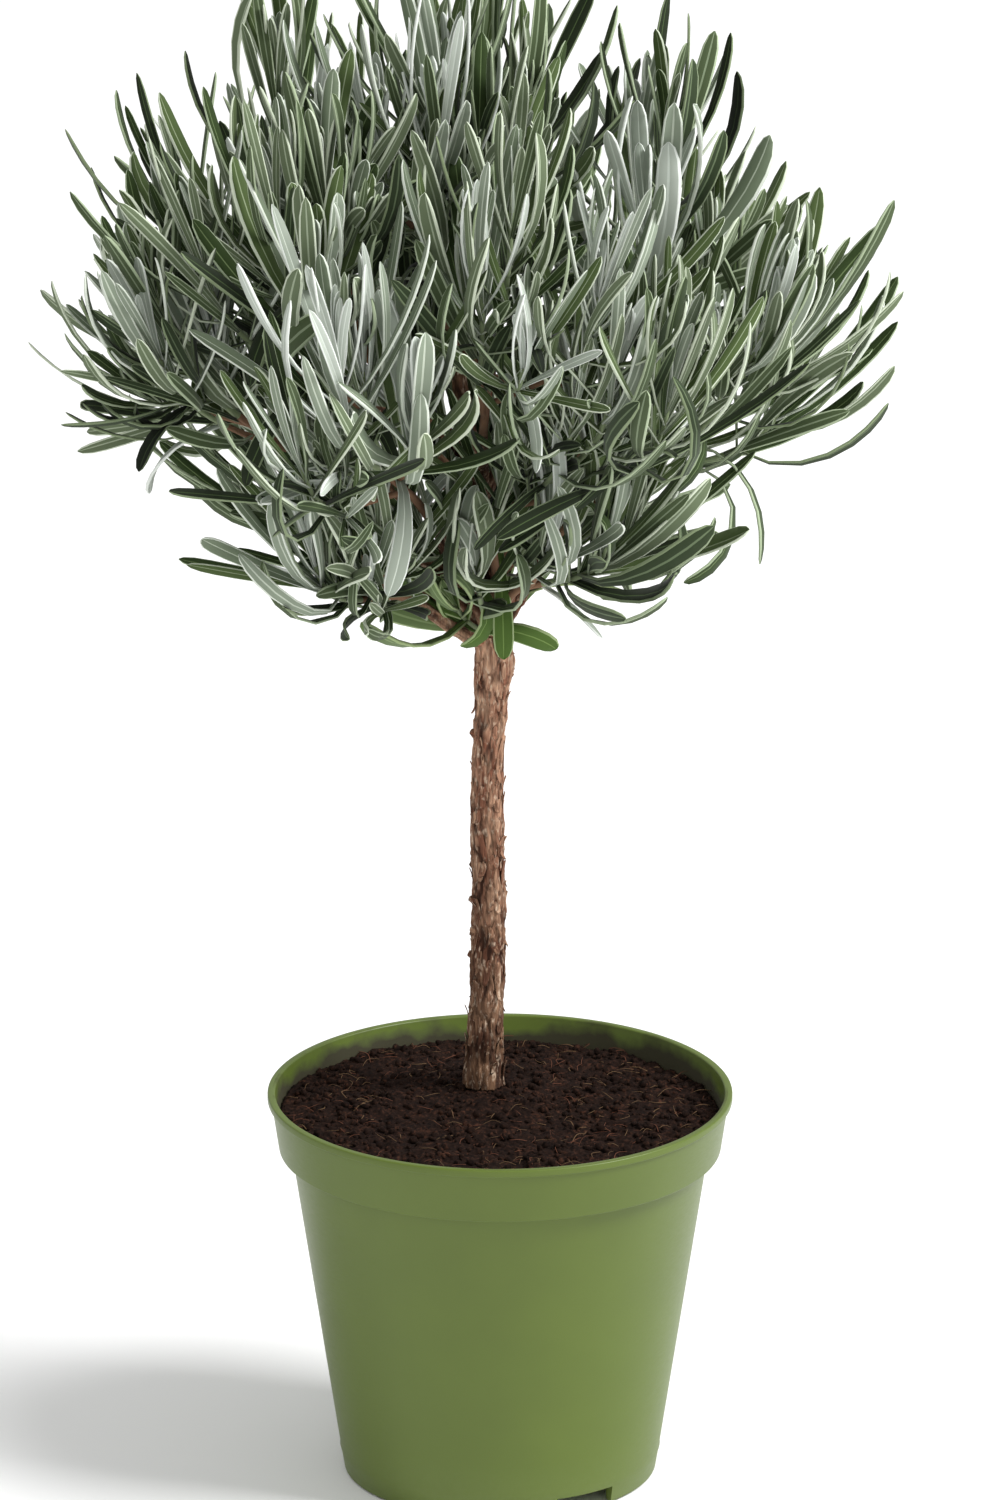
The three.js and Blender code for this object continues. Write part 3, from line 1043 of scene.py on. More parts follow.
@dataclass
class WoodyFrame:
    """The stem and its boughs, with the bark's relief."""

    stem_sides: int = 72
    stem_rows: int = 330
    bough_sides: int = 26
    bough_rows: int = 46
    strip_width: float = 1.7 * MM
    strip_height: float = 13.0 * MM
    relief: float = 1.15 * MM
    stem_sections: int = 14
    bough_sections: int = 5
    stub_sides: int = 14
    stub_rows: int = 8
    stub_shares: tuple[float, ...] = (0.27, 0.335, 0.40, 0.47, 0.76)
    flake_count: int = 170
    pattern_shift: float = 4.7
    seed: int = 3
    boughs: dict[str, Line] = field(default_factory=dict)

    def __post_init__(self) -> None:
        """Reads the stem's and the boughs' lines from the frame."""
        low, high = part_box("trunk")
        foot = Vector(((low.x + high.x) / 2.0, (low.y + high.y) / 2.0, low.z))
        centres, radii = read_limb("trunk", foot, self.stem_sections)
        self.foot = Vector((centres[0].x, centres[0].y, low.z))
        self.fork = Vector((centres[-1].x, centres[-1].y, high.z))
        flare = radii[0] * 1.12
        self.stem = Line([self.foot, *centres, self.fork], [flare, *radii, radii[-1]])
        names = sorted(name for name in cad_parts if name.startswith("bough_"))
        upper = [name for name in names if "_high_" in name]
        for name in names:
            if name not in upper:
                self.boughs[name] = self.borne_line(name, self.stem)
        for name in upper:
            self.boughs[name] = self.borne_line(name, self.boughs["bough_crown_1"])

    def borne_line(self, name: str, bearer: Line) -> Line:
        """Finds a bough's line, started inside the wood that bears it.

        Args:
            name: the bough's node.
            bearer: the stem, or the leader for the upper boughs.

        Returns:
            The line.
        """
        centres, radii = read_limb(name, self.fork, self.bough_sections)
        nearest = int(np.argmin([(Vector(point) - centres[0]).length for point in bearer.fine]))
        start = Vector(bearer.fine[nearest])
        start -= bearer.heading(float(bearer.shares[nearest])) * 2.0 * MM
        return Line([start, *centres], [radii[0] * 1.25, *radii])

    def bark_at(self, turn: float, along: float, around: float, offset: float) -> tuple[float, float, float]:
        """Relief, crack and plate tone of the bark, which is shredded into upright strips.

        Args:
            turn: angle round the limb.
            along: distance along it.
            around: its radius.
            offset: shifts the pattern from limb to limb.

        Returns:
            The relief in metres, the crack's depth from 0 to 1, and the plate's tone from 0 to 1.
        """
        x, y = math.cos(turn) * around, math.sin(turn) * around
        sway = noise.noise(Vector((x * 160.0, y * 160.0, along * 75.0 + offset))) * 1.6 * MM
        sway += noise.noise(Vector((x * 420.0, y * 420.0, along * 260.0 + offset))) * 0.5 * MM
        angle = turn + sway / around
        x, y = math.cos(angle) * around, math.sin(angle) * around
        width, height = self.strip_width, self.strip_height
        strips = noise.noise(Vector((x / width, y / width, along / height + offset)))
        shreds = noise.noise(Vector((x * 2.6 / width, y * 2.6 / width, along * 2.2 / height + offset * 2.0)))
        ridge = 1.0 - 2.0 * abs(strips)
        patch = noise.noise(Vector((x / 4.2 / MM, y / 4.2 / MM, along / 12.0 / MM + offset * 3.0)))
        gnarl = noise.noise(Vector((x / 5.5 / MM, y / 5.5 / MM, along / 9.0 / MM + offset * 5.0)))
        torn = smoothstep(-0.05, 0.12, strips + 0.55 * shreds)
        crack = 1.0 - smoothstep(0.0, 0.34, abs(strips + 0.35 * shreds))
        crack = min(1.0, crack * (0.55 + 0.6 * smoothstep(-0.3, 0.3, -patch)))
        relief = self.relief * (0.32 + torn * 0.45 - crack * 0.5 + shreds * 0.35 + gnarl * 0.8 + ridge * 0.12)
        tone = min(max(0.5 + patch * 1.1 + shreds * 0.7, 0.0), 1.0)
        return relief, crack, tone

    def barked(self, line: Line, tube: Template, rows: int, offset: float) -> tuple[np.ndarray, list, list]:
        """Lays a tube along a limb and gives it the bark's relief.

        Args:
            line: the limb.
            tube: the tube's template.
            rows: the tube's stretches.
            offset: shifts the pattern from limb to limb.

        Returns:
            The place, crack and plate tone of each of the tube's vertices.
        """
        centres, across, ups, radii = line.frames(rows)
        places, cracks, tones = [], [], []
        for x, y, z in tube.places:
            row = int(round(z * rows))
            turn = math.atan2(y, x)
            relief, crack, tone = self.bark_at(turn, z * line.length, radii[row], offset)
            shrink = min(1.0, radii[row] / (4.0 * MM))
            radius = radii[row] * math.hypot(x, y) + relief * shrink * math.hypot(x, y)
            places.append(centres[row] + (across[row] * math.cos(turn) + ups[row] * math.sin(turn)) * radius)
            cracks.append(crack)
            tones.append(tone)
        return np.array(places), cracks, tones

    def stubs(self, random: np.random.Generator) -> list[Line]:
        """Draws the low knobs where shoots were rubbed off the stem.

        Args:
            random: the source of the draws.

        Returns:
            The line of each knob.
        """
        made = []
        for share in self.stub_shares:
            out = heading(math.radians(random.uniform(160.0, 235.0)), random.uniform(0.3, 0.7))
            root = self.stem.at(share)
            reach = random.uniform(7.0, 8.2) * MM
            points = [root, root + out * reach * 0.6, root + out * reach]
            made.append(Line(points, [3.4 * MM, 2.4 * MM, 0.9 * MM]))
        return made

    def flakes(self, random: np.random.Generator) -> tuple[np.ndarray, Template]:
        """Thin strips of torn bark that lie on the stem, with one end standing off.

        Args:
            random: the source of the draws.

        Returns:
            The places of every copy, and the flat strip that they are bent from.
        """
        mesh = bmesh.new()
        bmesh.ops.create_grid(mesh, x_segments=3, y_segments=7, size=0.5)
        bmesh.ops.solidify(mesh, geom=mesh.faces[:], thickness=1.0)
        flake = Template.of(mesh)
        u, v, w = flake.places.T
        copies = []
        for _ in range(self.flake_count):
            share = random.uniform(0.02, 0.98)
            ahead = self.stem.heading(share)
            side = ahead.orthogonal().normalized()
            side.rotate(Quaternion(ahead, random.uniform(0.0, math.tau)))
            across = ahead.cross(side)
            width = random.uniform(0.9, 2.6) * MM
            length = random.uniform(4.0, 13.0) * MM
            curl = random.uniform(0.2, 1.5) * MM
            lean = random.uniform(-0.25, 0.25)
            loose_end = np.clip(v * random.choice([-2.0, 2.0]), 0.0, 1.0)
            taper = 1.0 - 0.6 * np.abs(2.0 * v) ** 3
            radius = float(np.interp(share, np.linspace(0.0, 1.0, len(self.stem.radii)), self.stem.radii))
            angle = (u * width * taper + v * length * lean) / radius
            lift = radius + 0.5 * MM + curl * loose_end ** 2 + w * 0.22 * MM + 0.3 * MM * np.abs(u) * 2.0
            copies.append(
                np.array(self.stem.at(share)) + np.outer(v * length, ahead)
                + np.outer(np.cos(angle) * lift, side) + np.outer(np.sin(angle) * lift, across)
            )
        return np.array(copies), flake

    def build(self) -> None:
        """Makes the wood as one piece, in place of the stem and every bough."""
        random = np.random.default_rng(self.seed)
        bark = BarkFinish().material(self.foot.z, self.fork.z)
        limbs = [(self.stem, self.stem_sides, self.stem_rows)]
        limbs += [(line, self.bough_sides, self.bough_rows) for line in self.boughs.values()]
        limbs += [(line, self.stub_sides, self.stub_rows) for line in self.stubs(random)]
        mesh = bmesh.new()
        crack_layer = mesh.verts.layers.float.new("crack")
        plate_layer = mesh.verts.layers.float.new("plate")
        for index, (line, sides, rows) in enumerate(limbs):
            tube = Template.tube(sides, rows)
            places, cracks, tones = self.barked(line, tube, rows, index * self.pattern_shift)
            for vert, crack, tone in zip(tube.copy_into(mesh, places), cracks, tones):
                vert[crack_layer] = crack
                vert[plate_layer] = tone
        copies, flake = self.flakes(random)
        for places in copies:
            tone = random.uniform()
            for vert in flake.copy_into(mesh, places):
                vert[plate_layer] = tone
        wood = piece_from("stem_and_boughs", mesh, [bark])
        settle(wood, "bark", "trunk", *self.boughs)


# ---------------------------------------------------------------- foliage


@dataclass
class Leaf:
    """One leaf: where it grows and how it is held. Lengths in metres, angles in radians."""

    base: Vector
    stem: Vector
    out: Vector
    length: float
    width: float
    spread: float
    incurve: float
    sway: float
    twist: float
    cup: float
    tint: Tint


@dataclass
class Shoot:
    """A leafy stem.

    Its strength, about 1, scales its leaves' length. Leafy is the length of the tuft at its end,
    breadth is its leaves' full width, and old_pairs is how many pairs stand below the tuft. A
    twig is woody at its foot and may bear small shoots; the small shoots are not twigs.
    """

    line: Line
    strength: float
    leafy: float
    breadth: float
    tint: Tint
    old_pairs: int = 0
    twig: bool = True


class LeafShape:
    """The shape that every leaf shares: a narrow blade with rolled margins and a sunk midrib."""

    ROWS = 8
    THICKNESS = 0.85 * MM
    USUAL_WIDTH = 7.0 * MM
    # Half-width and height of each corner of the section, from the left margin over the top.
    SECTION = (
        (-1.00, -0.55), (-0.84, 0.45), (-0.06, -0.25), (0.06, -0.25), (0.84, 0.45),
        (1.00, -0.55), (0.78, -1.15), (0.10, -0.50), (-0.10, -0.50), (-0.78, -1.15),
    )
    ROLES = (
        LeafFace.MARGIN, LeafFace.BLADE, LeafFace.MIDRIB, LeafFace.BLADE, LeafFace.MARGIN,
        LeafFace.MARGIN, LeafFace.UNDERSIDE, LeafFace.KEEL, LeafFace.UNDERSIDE, LeafFace.MARGIN,
    )

    def __init__(self) -> None:
        """Builds the template: a closed tube whose corners are the section's."""
        sides = len(self.SECTION)
        mesh = tube_mesh(sides, self.ROWS)
        first = min((math.atan2(v.co.y, v.co.x) % math.tau) for v in mesh.verts if v.co.xy.length > 0.5)
        step = math.tau / sides
        corner = {}
        for vert in mesh.verts:
            turn = math.atan2(vert.co.y, vert.co.x) % math.tau
            corner[vert] = int(round((turn - first) / step)) % sides if vert.co.xy.length > 0.5 else None
        for face in mesh.faces:
            found = sorted({corner[vert] for vert in face.verts if corner[vert] is not None})
            if len(found) == 2:
                low = found[1] if found == [0, sides - 1] else found[0]
                face.material_index = self.ROLES[(sides - 1 - low) % sides]
        for vert in mesh.verts:
            index = corner[vert]
            across, high = (0.0, -0.3) if index is None else self.SECTION[(sides - index) % sides]
            vert.co.x, vert.co.y = across, high
        bmesh.ops.recalc_face_normals(mesh, faces=mesh.faces)
        self.template = Template.of(mesh)
        self.row = np.rint(self.template.places[:, 2] * self.ROWS).astype(int)
        shares = np.arange(self.ROWS + 1) / self.ROWS
        self.stations = 1.0 - (1.0 - shares) ** 1.7
        rising = np.clip(self.stations / 0.72, 0.0, 1.0)
        past = np.clip((self.stations - 0.80) / 0.20, 0.0, 0.995)
        self.widths = (0.40 + 0.60 * rising * rising * (3.0 - 2.0 * rising)) * (1.0 - past ** 2.4) ** 0.55

    def lay(self, leaves: list[Leaf]) -> np.ndarray:
        """Bends a copy of the shape for each leaf.

        Args:
            leaves: the leaves.

        Returns:
            Their places, (leaves, vertices, 3).
        """
        def column(name: str) -> np.ndarray:
            """One field of every leaf."""
            return np.array([getattr(leaf, name) for leaf in leaves])

        stem, out = column("stem")[:, None], column("out")[:, None]
        side = np.cross(stem, out)
        station = self.stations[None, :, None]
        angle = column("spread")[:, None, None] - column("incurve")[:, None, None] * station ** 0.85
        swing = column("sway")[:, None, None] * station
        ahead = (stem * np.cos(angle) + out * np.sin(angle)) * np.cos(swing) + side * np.sin(swing)
        normal = stem * np.sin(angle) - out * np.cos(angle)
        across = np.cross(ahead, normal)
        across /= np.linalg.norm(across, axis=2, keepdims=True)
        twist = column("twist")[:, None, None] * station
        normal, across = (normal * np.cos(twist) + across * np.sin(twist),
                          across * np.cos(twist) - normal * np.sin(twist))
        length = column("length")[:, None, None]
        steps = np.diff(self.stations)[None, :, None] * length
        runs = (ahead[:, 1:] + ahead[:, :-1]) / 2.0 * steps
        spine = np.concatenate((np.zeros_like(runs[:, :1]), np.cumsum(runs, axis=1)), axis=1)
        spine += column("base")[:, None]
        u, v = self.template.places[:, 0], self.template.places[:, 1]
        width = column("width")[:, None]
        half = width / 2.0 * self.widths[self.row][None]
        thick = self.THICKNESS * np.sqrt(self.widths[self.row])[None] * (width / self.USUAL_WIDTH) ** 0.5
        lift = v[None] * thick + column("cup")[:, None] * (u ** 2)[None] * half
        return (spine[:, self.row] + across[:, self.row] * (u[None] * half)[..., None]
                + normal[:, self.row] * lift[..., None])


@dataclass
class Mass:
    """One mass of the head: the space that its shoots fill, and the bough that they grow from."""

    node: str
    bough: Line

    def __post_init__(self) -> None:
        """Reads the mass's surface and where its bough enters it."""
        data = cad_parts[self.node].data
        corners = node_vertices(self.node)
        self.surface = BVHTree.FromPolygons(corners, [tuple(face.vertices) for face in data.polygons])
        self.centre = mean(corners)
        self.entry = self.bough.at(1.0)
        self.bottom = min(place.z for place in corners)

    def reach(self, towards: Vector) -> Vector:
        """The furthest point of the mass's surface from its centre, along a direction."""
        far = 0.5
        return self.surface.ray_cast(self.centre + towards * far, -towards, far)[0]


@dataclass
class LavenderHead:
    """The head: shoots that branch from the boughs and fill the masses, and their leaves."""

    wood: WoodyFrame
    seed: int = 14
    shoots_in: dict[str, int] = field(default_factory=lambda: {"low": 3, "mid": 4, "high": 5, "crown": 6})
    fan: float = math.radians(74.0)
    least_rise: float = math.radians(52.0)
    most_rise: float = math.radians(88.0)
    tip_leaf: float = 48.0 * MM
    inward: float = 0.36
    clear_of_bottom: float = 1.2
    inner_count: int = 11
    overhang: float = 9.0 * MM
    hang: float = 9.0 * MM
    hang_within: float = 18.0 * MM
    underside_slope: float = 0.4
    inner_first: float = math.radians(-100.0)
    twig_sides: int = 7
    twig_rows: int = 10
    woody_share: float = 0.42
    old_leaf_share: float = 0.72
    sprig_share: float = 0.07
    broad_share: float = 0.16

    def __post_init__(self) -> None:
        """Starts the random draws and lists the masses."""
        self.random = np.random.default_rng(self.seed)
        self.masses = []
        for node in sorted(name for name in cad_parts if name.startswith("foliage_")):
            bough = self.wood.boughs[node.replace("foliage_", "bough_")]
            self.masses.append(Mass(node, bough))
        low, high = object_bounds()
        self.bottom = min(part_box(mass.node)[0].z for mass in self.masses)
        self.top = high.z
        self.heart = (low + high) / 2.0
        self.half_width = (high.x - low.x) / 2.0

    def stray(self, size: float) -> float:
        """A random number from -size to size."""
        return float(self.random.uniform(-size, size))

    def rise_at(self, place: Vector) -> float:
        """How steeply a shoot ends: nearly upright inside and on top, slanting at the sides.

        Args:
            place: where its tip stands.

        Returns:
            The slope in radians.
        """
        out = math.hypot(place.x - self.heart.x, place.y - self.heart.y) / self.half_width
        high = smoothstep(self.bottom, self.top, place.z)
        upright = min(max(1.08 - 0.85 * out * out + 0.25 * high, 0.0), 1.0)
        return self.least_rise + (self.most_rise - self.least_rise) * upright

    def shoots_of(self, mass: Mass) -> list[Shoot]:
        """Branches a mass's shoots from its bough.

        The first shoot carries the bough on through the mass. The others leave it one after
        another, a golden angle apart, and each turns up towards the light at its end.

        Args:
            mass: the mass.

        Returns:
            Its shoots, the first one first.
        """
        count = self.shoots_in[mass.node.split("_")[1]]
        most_pairs = 3 if "_low_" in mass.node else 5
        shoots = []
        outward = Vector((mass.centre.x - self.heart.x, mass.centre.y - self.heart.y, 0.0)) / self.half_width
        axis = (UP + outward * 0.7).normalized()
        start_turn = self.random.uniform(0.0, math.tau)
        for index in range(count):
            lean = self.fan * math.sqrt(index / count) * (1.0 + self.stray(0.1))
            around = axis.orthogonal().normalized()
            around.rotate(Quaternion(axis, start_turn + GOLDEN_ANGLE * index + self.stray(0.25)))
            towards = (axis * math.cos(lean) + around * math.sin(lean)).normalized()
            towards.z = max(towards.z, 0.16)
            target = mass.reach(towards.normalized())
            flat = Vector((target.x - self.heart.x, target.y - self.heart.y, 0.0)).normalized()
            flat = (flat + around * 0.5).normalized()
            rise = self.rise_at(target) + self.stray(0.14)
            level = Vector((flat.x, flat.y, 0.0)).normalized()
            arrive = (level * math.cos(rise) + UP * math.sin(rise)).normalized()
            strength = float(self.random.uniform(0.82, 1.12))
            leafy = self.random.uniform(27.0, 38.0) * MM
            tip = target - arrive * self.tip_leaf * strength
            tip.x += (mass.centre.x - tip.x) * self.inward
            tip.y += (mass.centre.y - tip.y) * self.inward
            tip.z = max(tip.z, mass.bottom + self.clear_of_bottom * leafy * math.sin(rise))
            if index == 0:
                root, leave = mass.entry, mass.bough.heading(1.0)
                radii = [1.7 * MM, 1.3 * MM, 0.9 * MM]
            else:
                share = 0.04 + 0.4 * index / count
                root = shoots[0].line.at(share)
                leave = ((tip - root).normalized() + flat * 0.5).normalized()
                radii = [1.3 * MM, 1.1 * MM, 0.8 * MM]
            line = Line.arching(root, leave, tip, arrive, radii)
            shoots.append(Shoot(
                line, strength, leafy=leafy, breadth=self.breadth(),
                tint=self.spray_tint(tip), old_pairs=int(self.random.integers(0, most_pairs)),
            ))
        return shoots

    def breadth(self) -> float:
        """A shoot's leaf width in metres: mostly narrow, now and then broad."""
        broad = self.random.uniform() < self.broad_share
        return float(self.random.uniform(6.6, 8.2) if broad else self.random.uniform(4.1, 5.8)) * MM

    def spray_tint(self, tip: Vector) -> Tint:
        """Deals a spray its colours: greener and darker inside, greyer outside; the darker tints inside the
        head are painted shade, on top of a random draw.

        Args:
            tip: where the spray ends.

        Returns:
            Its colours.
        """
        out = (tip - self.heart).length / self.half_width
        # Sprays near the heart lean to darker tints: painted shade inside the head.
        draw = self.random.uniform() * 0.72 + 0.28 * smoothstep(0.85, 0.25, out)
        for limit, tint in ((0.04, Tint.SILVER), (0.22, Tint.MIST), (0.52, Tint.SAGE), (0.79, Tint.MOSS)):
            if draw < limit:
                return tint
        return Tint.DEEP

    def leaf_tint(self, age: float, spray: Tint) -> Tint:
        """A leaf's colours: its spray's own, or a step or two paler when young or darker when old; the darker
        steps, low in the tufts, are partly the old leaves' own colour and partly painted shade.

        Args:
            age: the leaf's age: 0 at the tuft's tip, 1 at its foot, and more on the older stem.
            spray: the colours of its spray.

        Returns:
            Its colours.
        """
        order = (Tint.SILVER, Tint.MIST, Tint.SAGE, Tint.MOSS, Tint.DEEP, Tint.SHADE)
        if spray not in order:
            return spray
        # Older leaves step darker: partly their own colour, partly painted shade low in the tufts.
        step = int(round(2.2 * (age - 0.33) + self.stray(0.85)))
        return order[min(max(order.index(spray) + step, 0), len(order) - 1)]

    def leaves_of(self, shoot: Shoot) -> tuple[list[Leaf], list[Shoot]]:
        """Sets opposite pairs of leaves along a shoot, each pair a quarter turn on from the last.

        The pairs stand close together in the tuft at its end, and far apart on the older stem
        below, where the leaves arch over and hang.

        Args:
            shoot: the shoot.

        Returns:
            Its leaves, and the small shoots that start in their axils.
        """
        leaves, sprigs = [], []
        line = shoot.line
        side = line.heading(1.0).orthogonal().normalized()
        turn = self.random.uniform(0.0, math.tau)
        back, index, old = 0.0, 0, 0
        while back < line.length * 0.97 and old <= shoot.old_pairs:
            share = 1.0 - back / line.length
            base, ahead = line.at(share), line.heading(share)
            side = (side - ahead * side.dot(ahead)).normalized()
            age = min(back / shoot.leafy, 1.0)
            for half in range(2):
                out = side.copy()
                out.rotate(Quaternion(ahead, turn + math.pi * half + self.stray(0.25)))
                if old == 0:
                    leaves.append(self.leaf(base, ahead, out, age, shoot))
                elif self.random.uniform() < self.old_leaf_share:
                    leaves.append(self.old_leaf(base, ahead, out, shoot))
                if shoot.twig and age > 0.75 and self.random.uniform() < self.sprig_share:
                    sprigs.append(self.sprig(base, ahead, out, shoot))
            turn += math.pi / 2.0 + self.stray(0.25)
            if back < shoot.leafy:
                back += (2.5 + 0.42 * index) * MM * (1.0 + self.stray(0.2))
            else:
                back += self.random.uniform(8.0, 15.0) * MM
                old += 1
            index += 1
        return leaves, sprigs

    def leaf(self, base: Vector, ahead: Vector, out: Vector, age: float, shoot: Shoot) -> Leaf:
        """Shapes one leaf of a tuft.

        Args:
            base: where it leaves the shoot.
            ahead: the shoot's direction there.
            out: the side of the shoot that it stands on.
            age: its age, from 0 at the tuft's tip to 1 at its foot.
            shoot: the shoot.

        Returns:
            The leaf.
        """
        grown = smoothstep(-0.22, 0.5, age)
        length = (18.0 + 50.0 * grown) * MM * shoot.strength * (1.0 + self.stray(0.14))
        width = shoot.breadth * (0.55 + 0.45 * grown) * (1.0 + self.stray(0.22))
        spread = 6.0 + 64.0 * age + self.stray(9.0)
        incurve = spread * (0.85 + self.stray(0.4)) + self.stray(20.0)
        # Every leaf also bends up towards the light, whichever side of the shoot it stands on.
        slant = ahead.cross(UP).length
        up_side = out.dot((UP - ahead * ahead.dot(UP)).normalized()) if slant > 0.05 else 0.0
        incurve -= 78.0 * up_side * slant * (0.45 + 0.55 * age)
        return Leaf(
            base=base, stem=ahead, out=out, length=length, width=width, spread=math.radians(spread),
            incurve=math.radians(incurve), sway=math.radians(self.stray(18.0)),
            twist=math.radians(self.stray(44.0)), cup=float(self.random.uniform(-0.42, 0.3)),
            tint=self.leaf_tint(age, shoot.tint),
        )

    def old_leaf(self, base: Vector, ahead: Vector, out: Vector, shoot: Shoot) -> Leaf:
        """Shapes one leaf of the older stem: long and arching, hanging, or turned back up.

        Args:
            base: where it leaves the shoot.
            ahead: the shoot's direction there.
            out: the side of the shoot that it stands on.
            shoot: the shoot.

        Returns:
            The leaf.
        """
        draw = self.random.uniform()
        # Leaves of the older stem take the darker step: partly their own colour, partly painted shade deep in
        # the head.
        tint = self.leaf_tint(1.3, shoot.tint)
        length, width = self.random.uniform(38.0, 60.0) * MM, self.random.uniform(0.9, 1.2)
        if draw < 0.08:
            arch = self.random.uniform(-130.0, -70.0)
            length, width, tint = self.random.uniform(58.0, 70.0) * MM, 0.95, Tint.SILVER
        elif draw < 0.45:
            arch = self.random.uniform(-155.0, -70.0)
        else:
            arch = self.random.uniform(30.0, 95.0)
        return Leaf(
            base=base, stem=ahead, out=out, length=length * shoot.strength, width=shoot.breadth * width,
            spread=math.radians(self.random.uniform(22.0, 52.0)), incurve=math.radians(arch),
            sway=math.radians(self.stray(26.0)), twist=math.radians(self.stray(70.0)),
            cup=float(self.random.uniform(-0.2, 0.3)), tint=tint,
        )

    def sprig(self, base: Vector, ahead: Vector, out: Vector, bearer: Shoot) -> Shoot:
        """Starts a small shoot in the axil of a leaf.

        Args:
            base: where the leaf leaves its shoot.
            ahead: the direction of that shoot there.
            out: the side of it that the leaf stands on.
            bearer: that shoot.

        Returns:
            The small shoot.
        """
        towards = (ahead * 0.8 + out * 0.6).normalized()
        length = self.random.uniform(10.0, 30.0) * MM
        tip = base + towards * length
        arrive = (towards + UP * 0.6).normalized()
        line = Line.arching(base, towards, tip, arrive, [0.8 * MM, 0.7 * MM, 0.5 * MM])
        return Shoot(
            line, bearer.strength * self.random.uniform(0.5, 0.85), leafy=length * 0.7,
            breadth=bearer.breadth * 0.85, tint=bearer.tint, twig=False,
        )

    def fork_sprigs(self) -> list[Shoot]:
        """Starts a few weak shoots low on the fork, whose leaves hang.

        Returns:
            The shoots.
        """
        made = []
        for azimuth, rise in ((-2.3, 0.7), (2.8, 0.6), (1.4, 0.5)):
            out = heading(azimuth, rise)
            root = self.wood.fork - UP * 3.0 * MM
            tip = root + out * self.random.uniform(16.0, 30.0) * MM
            arrive = (out + UP * 0.4).normalized()
            line = Line.arching(root, out, tip, arrive, [1.1 * MM, 0.9 * MM, 0.6 * MM])
            made.append(Shoot(
                line, 0.72, leafy=8.0 * MM, breadth=7.0 * MM, tint=Tint.FRESH, old_pairs=3, twig=False,
            ))
        return made

    def fork_leaf(self, place: tuple, azimuth: float, length: float, width: float, spread: float,
                  incurve: float, twist: float, tint: Tint) -> Leaf:
        """Shapes one single leaf near the fork, with lengths in millimetres and angles in degrees.

        Args:
            place: its foot, from the fork.
            azimuth: the side that it stands on.
            length: its length.
            width: its width.
            spread: how far it leaves the upright.
            incurve: how far it curls back in; below 0 it curls out.
            twist: how far it turns about its own length.
            tint: its colours.

        Returns:
            The leaf.
        """
        return Leaf(
            base=self.wood.fork + Vector(place) * MM, stem=UP, out=heading(math.radians(azimuth), 0.0),
            length=length * MM, width=width * MM, spread=math.radians(spread),
            incurve=math.radians(incurve), sway=0.0, twist=math.radians(twist), cup=0.25, tint=tint,
        )

    def fork_leaves(self) -> list[Leaf]:
        """Places the single leaves round the fork: one hangs before it, one curls, three reach out.

        Returns:
            The leaves.
        """
        return [
            self.fork_leaf((2.0, -9.0, 33.0), -85.0, 40.0, 7.6, 128.0, -48.0, 0.0, Tint.FRESH),
            self.fork_leaf((-20.0, -8.0, 24.0), -30.0, 52.0, 7.2, 40.0, -215.0, 35.0, Tint.FRESH),
            self.fork_leaf((12.0, -6.0, 17.0), -12.0, 40.0, 6.8, 62.0, -50.0, -40.0, Tint.FRESH),
            self.fork_leaf((-8.0, -7.0, 20.0), -150.0, 44.0, 6.8, 50.0, -95.0, 20.0, Tint.MOSS),
            self.fork_leaf((14.0, -2.0, 26.0), 10.0, 46.0, 8.0, 45.0, -120.0, -25.0, Tint.MOSS),
        ]

    def inner_shoots(self) -> list[Shoot]:
        """Starts upright shoots from the lower part of the leader, which fill the head's middle.

        Returns:
            The shoots.
        """
        leader = self.wood.boughs["bough_crown_1"]
        made = []
        for index in range(self.inner_count):
            azimuth = self.inner_first + GOLDEN_ANGLE * index
            share = 0.04 + 0.5 * index / self.inner_count
            root = leader.at(share)
            leave = heading(azimuth, math.radians(25.0 + self.stray(12.0)))
            reach = self.random.uniform(26.0, 52.0) * MM
            lift = self.random.uniform(22.0, 48.0) * MM
            tip = root + Vector((leave.x, leave.y, 0.0)) * reach + UP * lift
            rise = math.radians(66.0 + self.stray(14.0))
            arrive = heading(azimuth, rise)
            line = Line.arching(root, leave, tip, arrive, [1.3 * MM, 1.1 * MM, 0.8 * MM])
            made.append(Shoot(
                line, float(self.random.uniform(0.7, 0.95)), leafy=self.random.uniform(22.0, 32.0) * MM,
                breadth=self.breadth(), tint=self.spray_tint(tip), old_pairs=int(self.random.integers(1, 4)),
            ))
        return made

    def group_of(self, mass: Mass) -> str:
        """Names the group that a mass's leaves are joined into.

        Args:
            mass: the mass.

        Returns:
            Its tier, and for the widest tier its front or back half.
        """
        tier = mass.node.split("_")[1]
        if tier != "mid":
            return tier
        return "mid_front" if mass.centre.y < 0.0 else "mid_back"

    def underside(self, places: np.ndarray) -> np.ndarray:
        """Lowest height a leaf may hang to at each place: the head's underside rises outward."""
        away = np.hypot(places[:, :, 0] - self.wood.fork.x, places[:, :, 1] - self.wood.fork.y)
        return self.wood.fork.z - self.hang + self.underside_slope * np.maximum(away - self.hang_within, 0.0)

    def palette(self) -> tuple[list[bpy.types.Material], np.ndarray]:
        """Makes the leaves' materials.

        Returns:
            The materials, and a table from tint and leaf part to material slot.
        """
        materials = []
        table = np.zeros((len(Tint), len(LeafFace)), int)
        for row, tint in enumerate(Tint):
            for part in LeafFace:
                finish = PlainFinish(
                    f"leaf_{tint.name.lower()}_{part.name.lower()}", linear(*tint.value[part]),
                    roughness=0.75, sheen=0.08,
                )
                table[row, part] = len(materials)
                materials.append(finish.material())
        return materials, table

